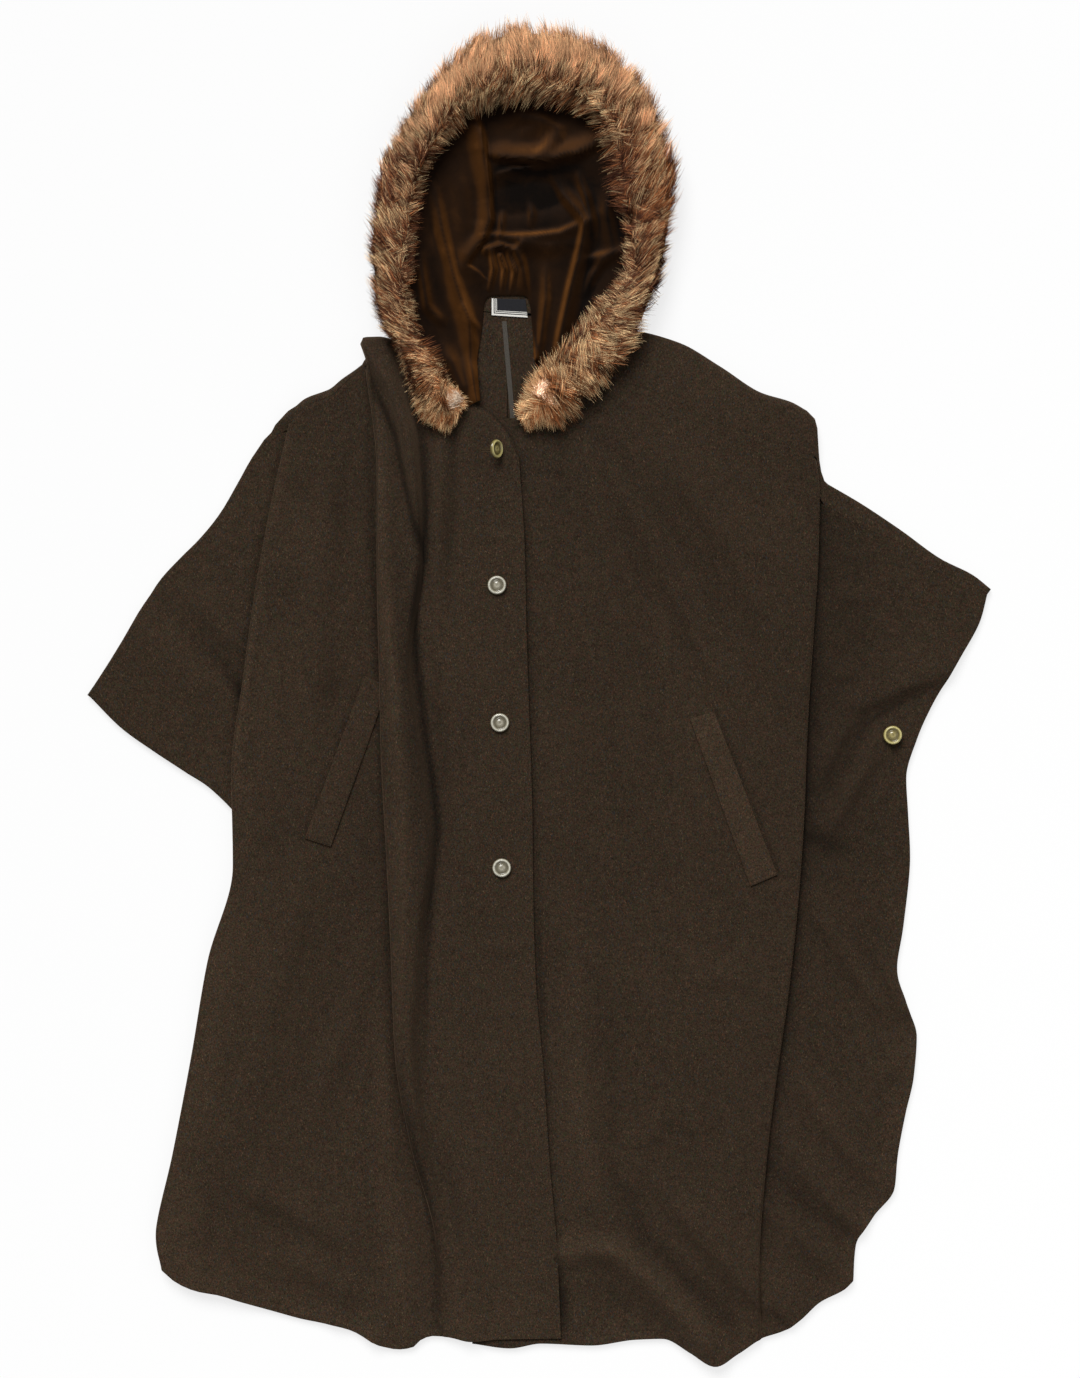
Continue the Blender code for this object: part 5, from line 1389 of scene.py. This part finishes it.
def hair_lines(chance, tuft_of, tuft_station, tuft_tip):
    """Root, bend and tip of each hair, how deep it lies, and how much it belongs to a bare spot."""
    tufts = len(tuft_station)
    count = len(tuft_of)
    deep = (chance.uniform(0.0, 1.0, tufts) ** DEPTH_POWER)[tuft_of]
    tuft_length = chance.uniform(*HAIR_LENGTH, tufts)
    tuft_turn = chance.normal(0.0, TUFT_TURN, tufts) + WAVE_TURN * wavy(tuft_station, tuft_tip, TURN_WAVE)
    # The hair parts nearer the inner edge: outwards beyond the parting and inwards before it
    outward = tuft_tip + chance.normal(0.0, PARTING_SPREAD, tufts) > np.interp(tuft_station, *PARTING)
    lean = np.where(outward, np.interp(tuft_station, *OUTER_LEAN), np.interp(tuft_station, *INNER_LEAN))
    lean += tuft_turn
    side = np.where(outward, 1.0, -1.0)[tuft_of]
    station = np.clip(tuft_station[tuft_of] + chance.normal(0, STATION_SPREAD, count), 0.0, LAST_STATION)
    wisp = chance.uniform(0, 1, count) < WISPS
    tip_share = np.clip(tuft_tip[tuft_of] + chance.normal(0, TIP_SPREAD, count), -1.0, 1.0)
    wisp &= np.abs(tip_share) > WISP_FROM
    tip_share = np.where(wisp, tip_share * chance.uniform(*WISP_LENGTH, count), tip_share)
    tip, half, levels, along = on_strip(station, tip_share)
    # At the strip's two ends the tips reach past the pelt, unevenly
    past_end = np.clip(1 - (LAST_STATION - station) / END_REACH, 0, 1)
    past_end -= np.clip(1 - station / END_REACH, 0, 1)
    tip = tip + along * column_of(past_end * chance.uniform(*PAST_END, count))
    under, centre, top = levels
    rise = top - centre
    reach = np.linalg.norm(half, axis=1)
    away = half / column_of(reach) * column_of(side)
    angle = np.radians(lean[tuft_of] + chance.normal(0.0, STRAND_TURN, count))
    heading = away * column_of(np.cos(angle)) + along * column_of(np.sin(angle))
    length = tuft_length[tuft_of] * chance.uniform(*LENGTH_CHANGE, count)
    surface = centre + rise * dome(tip_share)
    tip_z = surface - DEEPEST * deep * dome(tip_share) + chance.uniform(*TIP_CHANGE, count)
    lowered = under + LOWEST_TIP + (surface - under - LOWEST_TIP) * chance.uniform(0, 1, tufts)[tuft_of]
    tip_z = np.where(np.abs(tip_share) > LOW_FROM, np.minimum(tip_z, lowered + LOW_BAND), tip_z)
    for place, white_share, spot_reach in SPOTS:
        out = tip - np.array(place)
        far = column_of(np.linalg.norm(out, axis=1)) + 1e-6
        heading = unit(heading + out / far * (WHORL_PULL * np.exp(-(far / WHORL) ** 2)), 1e-6)
    root_plan = tip - heading * column_of(length)
    # Roots stay on the pelt
    root_share = np.einsum("ij,ij->i", root_plan - (tip - half * column_of(tip_share)), half) / reach ** 2
    held = np.clip(root_share, -PELT_SHARE - ROOT_MARGIN, PELT_SHARE + ROOT_MARGIN)
    root_plan = root_plan + half * column_of(held - root_share)
    root_plan += chance.normal(0, ROOT_SPREAD, (count, 2))
    root_z = centre + rise * PELT_SHARE * dome(held) * ROOT_SINK
    near_spot = np.zeros(count)
    for place, white_share, spot_reach in SPOTS:
        out = tip - np.array(place)
        far = np.linalg.norm(out, axis=1) + 1e-6
        root_far = np.linalg.norm(root_plan - np.array(place), axis=1)
        near = far < spot_reach * chance.uniform(*SPOT_CHANGE, count)
        near |= (root_far < SPOT_CLEAR) & (far < SPOT_FAR)
        spread = chance.normal(0, 1.0, (count, 2)) * np.array(SPOT_SPREAD) * (0.5 + 0.5 * white_share)
        fanned = column_of(np.clip(far * SPOT_FAN[0], 0, SPOT_FAN[1]))
        start = np.array(place) + spread + out / column_of(far) * fanned
        root_plan = np.where(column_of(near), start, root_plan)
        root_z = np.where(near, centre + rise * SPOT_ROOT_LEVEL, root_z)
        spot_z = centre + rise * (SPOT_TIP_LEVEL[0] - SPOT_TIP_LEVEL[1] * far)
        tip_z = np.where(near, np.minimum(tip_z, spot_z), tip_z)
        near_spot = np.where(near, white_share, near_spot)
    root = np.column_stack((root_plan, root_z))
    tip = np.column_stack((tip, tip_z))
    gathered = np.zeros((tufts, 3))
    np.add.at(gathered, tuft_of, tip / STRANDS_TO_A_TUFT)
    hold = column_of(np.where(near_spot > 0, SPOT_HOLD, HOLD))
    tip = tip * (1 - hold) + gathered[tuft_of] * hold
    bend = (root + tip) / 2
    arch = centre + rise * dome((held + tip_share) / 2) + ARCH - ARCH_LOST_DEEP * deep
    bend[:, 2] = np.where(near_spot > 0, bend[:, 2] + SPOT_ARCH, np.maximum(bend[:, 2], arch))
    bend[:, :2] += along * column_of(chance.normal(0, BEND_SPREAD, count))
    return root, bend, tip, deep, near_spot


def hair_colours(chance, tuft_of, station, tip, deep, near_spot):
    """Colours of each hair at its root, middle and tip.

    The outer top is tan, the ends are rust and straw, and the rest mixes brown and cream in patches.
    """
    tufts = len(station)
    count = len(tuft_of)
    swing = PATCH_WAVE[1] * np.sin(station * PATCH_WAVE[2])
    patch = 0.5 + 0.5 * np.sin(station * PATCH_WAVE[0] + swing + tip * PATCH_WAVE[3])
    outer_top = stretch(station, *OUTER_TOP) * np.clip(tip * OUTER_SIDE[0] + OUTER_SIDE[1], 0, 1)
    inner_top = stretch(station, *INNER_TOP) * np.clip(tip * INNER_SIDE[0] + INNER_SIDE[1], 0, 1)
    right_side = stretch(station, *RIGHT_SIDE)
    ends = stretch(station, *FIRST_END) + stretch(station, *LAST_END)
    pale = PALE_BASE + PALE_PATCHES * patch ** PATCH_POWER + PALE_INNER_TOP * inner_top
    pale += PALE_LOWER_RIGHT * stretch(station, *LOWER_RIGHT)
    pale -= PALE_LOST_RIGHT * right_side * (tip < LOST_TO)
    pale = np.clip(pale - PALE_LOST_DEEP * deep[::STRANDS_TO_A_TUFT], *PALE_SHARES)
    draw = chance.uniform(0, 1, count)
    second_draw = chance.uniform(0, 1, count)
    kind = np.where(draw < (CREAM_SHARE * pale)[tuft_of], CREAM, BROWN)
    reddish = RUST_STRETCHES * right_side * (tip > 0) + RUST_BASE + RUST_PATCHES * patch
    reddish += RUST_STRETCHES * inner_top
    kind = np.where((kind == BROWN) & (second_draw < reddish[tuft_of]), RUST, kind)
    kind = np.where((chance.uniform(0, 1, tufts) < outer_top)[tuft_of] & (draw > NOT_TAN), TAN, kind)
    end_kind = np.where(draw < STRAW_SHARE, STRAW, RUST)
    kind = np.where(chance.uniform(0, 1, count) < ends[tuft_of], end_kind, kind)
    clump = wavy(station, tip, CLUMP_WAVE) * (1 - outer_top)
    tuft_tone = chance.normal(1.0, TUFT_TONE, tufts) * (1 + CLUMP_TONE * clump)
    tone = tuft_tone[tuft_of] * chance.normal(1.0, STRAND_TONE, count)
    # Deep tufts are darkened as painted shade between the locks
    colours = HAIR_COLOURS[kind] * (tone.clip(*TONE_LIMITS) * (1 - SHADE_DEEP * deep))[:, None, None]
    far_tip = near_spot * np.where(draw < SPOT_TIPS[0], *SPOT_TIPS[1:])
    white = np.column_stack((near_spot, near_spot, far_tip))[:, :, None]
    return colours * (1 - white) + SPOT_COLOURS * white


def flat_blades(count):
    """A bmesh of flat blades side by side, each two points wide."""
    bm = bmesh.new()
    bmesh.ops.create_grid(bm, x_segments=2 * count - 1, y_segments=SEGMENTS, size=1.0)
    gaps = [face for face in bm.faces
            if round((face.calc_center_median().x + 1) / 2 * (2 * count - 1) - 0.5) % 2 == 1]
    bmesh.ops.delete(bm, geom=gaps, context="FACES_ONLY")
    loose = [edge for edge in bm.edges if not edge.link_faces]
    bmesh.ops.delete(bm, geom=loose, context="EDGES")
    return bm


def hair_piece(name, first, last, tufts, seed):
    """Tufts of hair between two stations, lying over each other. Each hair is a tapered blade."""
    chance = np.random.default_rng(seed)
    tuft_of = np.repeat(np.arange(tufts), STRANDS_TO_A_TUFT)
    count = len(tuft_of)
    tuft_station = chance.uniform(first, last, tufts)
    tuft_tip = chance.uniform(-1.0, 1.0, tufts)
    root, bend, tip, deep, near_spot = hair_lines(chance, tuft_of, tuft_station, tuft_tip)
    colours = hair_colours(chance, tuft_of, tuft_station, tuft_tip, deep, near_spot)
    piece = made_piece(name, flat_blades(count), hair, smooth=False)
    mesh = piece.data
    places = np.zeros(len(mesh.vertices) * 3)
    mesh.vertices.foreach_get("co", places)
    places = places.reshape(-1, 3)
    column = np.rint((places[:, 0] + 1) / 2 * (2 * count - 1)).astype(int)
    strand = column // 2
    side = (column % 2) * 2.0 - 1.0
    t = (np.rint((places[:, 1] + 1) / 2 * SEGMENTS) / SEGMENTS) ** BLADE_SPACING
    a, b, c = root[strand], bend[strand], tip[strand]
    tt = column_of(t)
    line = a * (1 - tt) ** 2 + 2 * b * tt * (1 - tt) + c * tt ** 2
    heading = unit(2 * (b - a) * (1 - tt) + 2 * (c - b) * tt)
    roll = chance.uniform(-BLADE_ROLL, BLADE_ROLL, count)[strand]
    facing = np.column_stack((np.sin(roll), np.cos(roll) * 0.35, np.cos(roll)))
    wide = unit(np.cross(heading, facing))
    taper = np.interp(t, *TAPER) * HAIR_WIDTH
    placed = (line + wide * column_of(side * taper / 2)) * MM
    mesh.vertices.foreach_set("co", placed.astype(np.float32).ravel())
    mesh.update()
    shade = colours[strand]
    lower = column_of(np.clip(t / np.where(near_spot[strand] > 0, SPOT_MIDDLE_AT, MIDDLE_COLOUR_AT), 0, 1))
    upper = column_of(np.clip((t - MIDDLE_COLOUR_AT) / (1 - MIDDLE_COLOUR_AT), 0, 1))
    shaded = (shade[:, 0] * (1 - lower) + shade[:, 1] * lower) * (1 - upper) + shade[:, 2] * upper
    layer = mesh.color_attributes.new("hair_colour", "FLOAT_COLOR", "POINT")
    opaque = np.column_stack((shaded, np.ones(len(shaded))))
    layer.data.foreach_set("color", opaque.astype(np.float32).ravel())
    covers(piece, "fur_trim")


# Name, first and last station, tufts and seed
HAIR_PIECES = (
    ("fur_hair_right_side", 0.0, 9.0, 1480, 11),
    ("fur_hair_top", 8.9, 19.6, 1710, 23),
    ("fur_hair_left_side", 19.5, 30.0, 1640, 37),
)
for hair_row in HAIR_PIECES:
    hair_piece(*hair_row)

# The two pocket welts, narrow folded strips of the same wool
# Each is sewn over the pocket's slit in a front, down its two short ends. The right one runs under the
# standing strip. Their wool is coloured paler than the coat's, as painted sheen.
WELT_GAP = 0.5
WELT_COLUMNS = 10
WELT_ROWS = 64
WELT_SWELL = 0.7
FLAT_END = 9
LEFT_WELT = 2.0
RIGHT_WELT = 1.6
ABOVE_ALL = 60.0
UNDER_STRIP = (-171, 8.4)


def surface_of(piece):
    """The piece as it is after its modifiers, for finding heights on it."""
    bpy.context.view_layer.update()
    return BVHTree.FromObject(piece, bpy.context.evaluated_depsgraph_get())


def height_on(surface, x, y, start=ABOVE_ALL):
    """Height of the uppermost cloth below the start, in millimetres."""
    hit = surface.ray_cast(Vector((x, y, start)) * MM, Vector((0, 0, -1)))
    return hit[0].z / MM


def strip_grid(corners, columns, rows):
    """Places in plan on a grid between four corners, by rows from the first two to the last two."""
    first, second, third, fourth = (Vector(corner) for corner in corners)
    return [[first.lerp(fourth, r / rows).lerp(second.lerp(third, r / rows), c / columns)
             for c in range(columns + 1)] for r in range(rows + 1)]


def welt_rows(surface, corners, thickness, under=(math.inf, ABOVE_ALL)):
    """Middle points of a welt on a surface. Past the place in under, it runs beneath what is higher."""
    grid = strip_grid(corners, WELT_COLUMNS, WELT_ROWS)
    levels = [[height_on(surface, place.x, place.y, ABOVE_ALL if place.x < under[0] else under[1])
               for place in row] for row in grid]
    rows = []
    for r, row in enumerate(grid):
        near = levels[max(0, r - 2):r + 3]
        from_end = FLAT_END * min(r / WELT_ROWS, 1 - r / WELT_ROWS)
        points = []
        for c, place in enumerate(row):
            swell = WELT_SWELL * math.sin(math.pi * c / WELT_COLUMNS) * min(1.0, from_end)
            points.append((*place, max(other[c] for other in near) + WELT_GAP + thickness / 2 + swell))
        rows.append(points)
    return rows


left_surface = surface_of(front_left)
right_surface = surface_of(front_right)
welt_left = cloth_shell(
    "welt_left_cloth",
    welt_rows(left_surface, ((158, -26), (183, -18), (249, -189), (221, -201)), LEFT_WELT),
    LEFT_WELT, wool_finish("wool_painted_sheen", 1.14, 1.34), "welt_left", edge=0.7)
welt_right = cloth_shell(
    "welt_right_cloth",
    welt_rows(right_surface, ((-183, 19), (-158, 8), (-218, -160), (-245, -151)), RIGHT_WELT, UNDER_STRIP),
    RIGHT_WELT, wool_finish("wool_painted_slight_sheen", 1.00, 1.18), "welt_right", edge=0.6)

# The tape over the centre back seam, and the woven label at the neck
# Both are seen through the open neck. The label has a plain double border and no words.
TAPE = 0.4
TAPE_HEIGHT = WOOL + 0.25
LABEL = 0.5
LABEL_HEIGHT = TAPE_HEIGHT + 0.45
LABEL_SIZE = (37.0, 19.0)
# Middle and half width of each line of the border, from the label's edge
LABEL_BORDER = ((1.4, 1.0), (3.9, 0.45), (5.6, 0.3))
BORDER_THREAD = (0.84, 0.82, 0.76, 1)


def flat_strip(corners, thickness, height, columns, rows):
    return [[(*place, height + thickness / 2) for place in row] for row in strip_grid(corners, columns, rows)]


ribbed, given, gives = node_group(
    "ribbed_weave", {"Map": "Vector", "Threads": "Float", "Yarn": "Color"},
    {"Colour": "Color", "Height": "Float"})
ribs = node(ribbed, "ShaderNodeTexWave", Vector=given["Map"], Scale=given["Threads"], Distortion=0.3)
rib_shade = ranged(ribbed, ribs.outputs["Fac"], 0.0, 1.0, 0.75, 1.15)
ribbed.links.new(mixed(ribbed, 1.0, given["Yarn"], rib_shade, "MULTIPLY"), gives["Colour"])
ribbed.links.new(ribs.outputs["Fac"], gives["Height"])


def woven(name, yarn, threads):
    """A woven tape or label. Its threads follow the piece's own map.

    Returns the material, its node tree, its shader, the map and the colour.
    """
    material, tree, shader = new_finish(name, Roughness=0.6, Specular_IOR_Level=0.3)
    cloth_map = node(tree, "ShaderNodeUVMap").outputs["UV"]
    weave = node(tree, "ShaderNodeGroup", set_node_tree=ribbed, Map=cloth_map, Threads=threads,
                 Yarn=(*yarn, 1))
    bumped(tree, shader, weave.outputs["Height"], 0.4, 0.0003)
    tree.links.new(weave.outputs["Colour"], shader.inputs["Base Color"])
    return material, tree, shader, cloth_map, weave.outputs["Colour"]


tape_weave = woven("seam_tape_weave", (0.060, 0.051, 0.039), 60.0)[0]
tape = cloth_shell(
    "back_seam_tape_weave",
    flat_strip(((-39, 391), (-34, 391), (-24, 275), (-29, 275)), TAPE, TAPE_HEIGHT, 6, 60),
    TAPE, tape_weave, "back_seam_tape", edge=0.15)
label_weave, tree, label_shader, label_map, label_colour = woven("label_weave", (0.010, 0.010, 0.013), 45.0)
label = cloth_shell(
    "neck_label_weave",
    flat_strip(((-50, 415), (-14, 414), (-12, 394.5), (-50, 397)), LABEL, LABEL_HEIGHT, 24, 16),
    LABEL, label_weave, "neck_label", edge=0.25)
label_parts = node(tree, "ShaderNodeSeparateXYZ", Vector=label_map)
from_edge = reckoned(tree, "MINIMUM", reckoned(tree, "MULTIPLY", label_parts.outputs["X"], LABEL_SIZE[0]),
                     reckoned(tree, "MULTIPLY", label_parts.outputs["Y"], LABEL_SIZE[1]))
for middle, half_width in LABEL_BORDER:
    on_border = reckoned(tree, "COMPARE", from_edge, middle, half_width)
    label_colour = mixed(tree, on_border, label_colour, BORDER_THREAD)
tree.links.new(label_colour, label_shader.inputs["Base Color"])

# The buttons, turned from pearly plastic
# Four close the front and one the side. Each has a raised shiny rim and plain rings, and lies on the cloth.
BUTTON_RADIUS = 10.0
BUTTON_TURNS = 72
BUTTON_GAP = 0.3
SEAT_CHECKS = 16
WELD = 0.005
# From the middle of the front out to the rim and back to the middle of the underside: radius and height
BUTTON_PROFILE = (
    (0, 3.15), (1.2, 3.2), (2, 3.55), (2.8, 3.2), (3.6, 2.75), (4.3, 2.7), (4.8, 2.95), (5.2, 2.7),
    (5.8, 2.65), (6.4, 2.85), (6.9, 3.5), (7.5, 4.1), (8.2, 4.3), (8.9, 4), (9.5, 3.3), (9.95, 2.2),
    (10, 1.6), (9.7, 0.8), (8.9, 0.2), (8, 0), (4.5, 0), (0, 0))
# Colours from the middle, at shares of the radius
RING_COLOURS = (
    (0.0, (0.24, 0.22, 0.16)), (0.22, (0.38, 0.35, 0.27)), (0.42, (0.17, 0.15, 0.10)),
    (0.60, (0.11, 0.095, 0.06)), (0.72, (0.34, 0.31, 0.23)), (0.84, (0.68, 0.66, 0.56)),
    (0.95, (0.30, 0.27, 0.19)), (1.0, (0.10, 0.085, 0.05)))
pearly, given, gives = node_group(
    "pearly_rings", {"Place": "Vector", "Radius": "Float", "Cast": "Color"}, {"Colour": "Color"})
cloudy = ranged(pearly, noise(pearly, given["Place"], 190.0, 3.0, Distortion=2.0), 0.3, 0.7, 0.72, 1.15)
rings = mixed(pearly, 1.0, ramp(pearly, given["Radius"], *RING_COLOURS), given["Cast"], "MULTIPLY")
pearly.links.new(mixed(pearly, 1.0, rings, cloudy, "MULTIPLY"), gives["Colour"])


def pearl_finish(name, cast):
    material, tree, shader = new_finish(name, Roughness=0.24, Coat_Weight=0.5, Coat_Roughness=0.12)
    shown = node(tree, "ShaderNodeGroup", set_node_tree=pearly, Place=place_in(tree),
                 Radius=layer_value(tree, "from_axis"), Cast=(*cast, 1))
    tree.links.new(shown.outputs["Colour"], shader.inputs["Base Color"])
    return material


pearl = pearl_finish("pearl_buttons", (1, 1, 1))
yellowed_pearl = pearl_finish("yellowed_pearl_buttons", (0.95, 0.86, 0.42))
# Name, place, the cloth under it, tilt in degrees and finish
BUTTONS = (
    ("button_1", (-46, 256), right_surface, 55.0, yellowed_pearl),
    ("button_2", (-44, 114), right_surface, 0.0, pearl),
    ("button_3", (-41, -30), right_surface, 0.0, pearl),
    ("button_4", (-39, -182), right_surface, 0.0, pearl),
    ("button_side", (370, -43), left_surface, 0.0, yellowed_pearl),
)
for button_name, (x, y), surface, tilt, plastic in BUTTONS:
    bm = bmesh.new()
    verts = [bm.verts.new((r, 0.0, z)) for r, z in BUTTON_PROFILE]
    edges = [bm.edges.new(pair) for pair in zip(verts, verts[1:])]
    bmesh.ops.spin(bm, geom=verts + edges, axis=(0, 0, 1), cent=(0, 0, 0), angle=2 * math.pi,
                   steps=BUTTON_TURNS, use_merge=True)
    bmesh.ops.remove_doubles(bm, verts=bm.verts, dist=WELD)
    bmesh.ops.recalc_face_normals(bm, faces=bm.faces)
    axis_layer = bm.verts.layers.float.new("from_axis")
    for vert in bm.verts:
        vert[axis_layer] = math.hypot(vert.co.x, vert.co.y) / BUTTON_RADIUS
    seat = max(height_on(surface, x + BUTTON_RADIUS * math.cos(k), y + BUTTON_RADIUS * math.sin(k))
               for k in range(SEAT_CHECKS))
    turn = Matrix.Rotation(math.radians(tilt), 4, "Y")
    lowest = min((turn @ vert.co).z for vert in bm.verts)
    bm.transform(Matrix.Scale(MM, 4) @ Matrix.Translation((x, y, seat - lowest + BUTTON_GAP)) @ turn)
    covers(made_piece(button_name + "_turned", bm, plastic), button_name)

# The stitching, in brown thread
# The turned hem is topstitched near its edge and the welts are stitched down across their ends.
# Each buttonhole is edged with close stitches on both sides of its slit, under its button.
STITCH_HEIGHT = 0.5


def thread(name, colour):
    return new_finish(name, Base_Color=(*colour, 1), Roughness=0.7, Specular_IOR_Level=0.2)[0]


def stitch(bm, surface, middle, along, length, width):
    """One small stitch, lying on the cloth with its middle at a place and its run along a way in plan."""
    ends = [Vector(middle) + Vector(along) * length / 2 * side for side in (-1, 1)]
    ends = [Vector((end.x, end.y, height_on(surface, end.x, end.y))) for end in ends]
    turn = (ends[1] - ends[0]).to_track_quat("X", "Z").to_matrix().to_4x4()
    shape = Matrix.Diagonal((length, width, STITCH_HEIGHT, 1.0))
    bmesh.ops.create_icosphere(bm, subdivisions=1, radius=0.5 * MM,
                               matrix=Matrix.Translation((ends[0] + ends[1]) / 2 * MM) @ turn @ shape)


HEM_UP = 9.5
HEM_PITCH = 4.4
HEM_STITCH = (2.9, 0.5)
hem_thread = thread("hem_thread", (0.014, 0.009, 0.006))
# Name, the cloth, its hem, and where the stitches start and end
HEMS = (
    ("hem_stitches_right", right_surface, RIGHT_HEM, -382, 19),
    ("hem_stitches_left", left_surface, LEFT_HEM, 30, 322),
)
for hem_name, surface, hem, x, last in HEMS:
    bm = bmesh.new()
    while x < last:
        run = Vector((2.0, on_line(hem, x + 1) - on_line(hem, x - 1))).normalized()
        stitch(bm, surface, (x, on_line(hem, x) + HEM_UP), run, *HEM_STITCH)
        x += HEM_PITCH * run.x
    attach(made_piece(hem_name, bm, hem_thread), "root")

WELT_PITCH = 3.1
WELT_STITCH = (2.2, 0.5)
welt_thread = thread("welt_thread", (0.017, 0.011, 0.007))
# Each welt with the two ends of each of its two rows
WELT_ENDS = (
    ("welt_stitches_left", welt_left, (((159.5, -30), (184, -22)), ((219.5, -196), (247, -184.5)))),
    ("welt_stitches_right", welt_right,
     (((-243, -146.5), (-217.5, -155.5)), ((-244, -149.5), (-218.5, -158.5)))),
)
for welt_name, welt, ends in WELT_ENDS:
    surface = surface_of(welt)
    bm = bmesh.new()
    for start, end in ends:
        start = Vector(start)
        across = Vector(end) - start
        count = int(across.length / WELT_PITCH)
        for k in range(count):
            stitch(bm, surface, start + across * (k + 0.5) / count, across.normalized(), *WELT_STITCH)
    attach(made_piece(welt_name, bm, welt_thread), "root")

HOLE_PITCH = 0.95
HOLE_SIDE = 1.15
HOLE_STITCH = (1.9, 0.7)
hole_thread = thread("buttonhole_thread", (0.070, 0.043, 0.020))
# The cloth, the slit's start, its way and its length
BUTTONHOLES = (
    (right_surface, (-59.5, 255.0), (1, 0), 19.0),
    (right_surface, (-59.5, 113.4), (1, 0), 21.0),
    (right_surface, (-55.5, -30.2), (1, 0), 21.0),
    (right_surface, (-52.5, -181.0), (1, 0), 21.0),
    (left_surface, (366.8, -63.0), (0, 1), 21.0),
)
bm = bmesh.new()
for surface, start, along, length in BUTTONHOLES:
    along = Vector(along)
    across = Vector((-along.y, along.x))
    for k in range(int(length / HOLE_PITCH)):
        for side in (-1, 1):
            stitch(bm, surface, Vector(start) + along * HOLE_PITCH * k + across * HOLE_SIDE * side, across,
                   *HOLE_STITCH)
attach(made_piece("buttonhole_stitches", bm, hole_thread), "root")
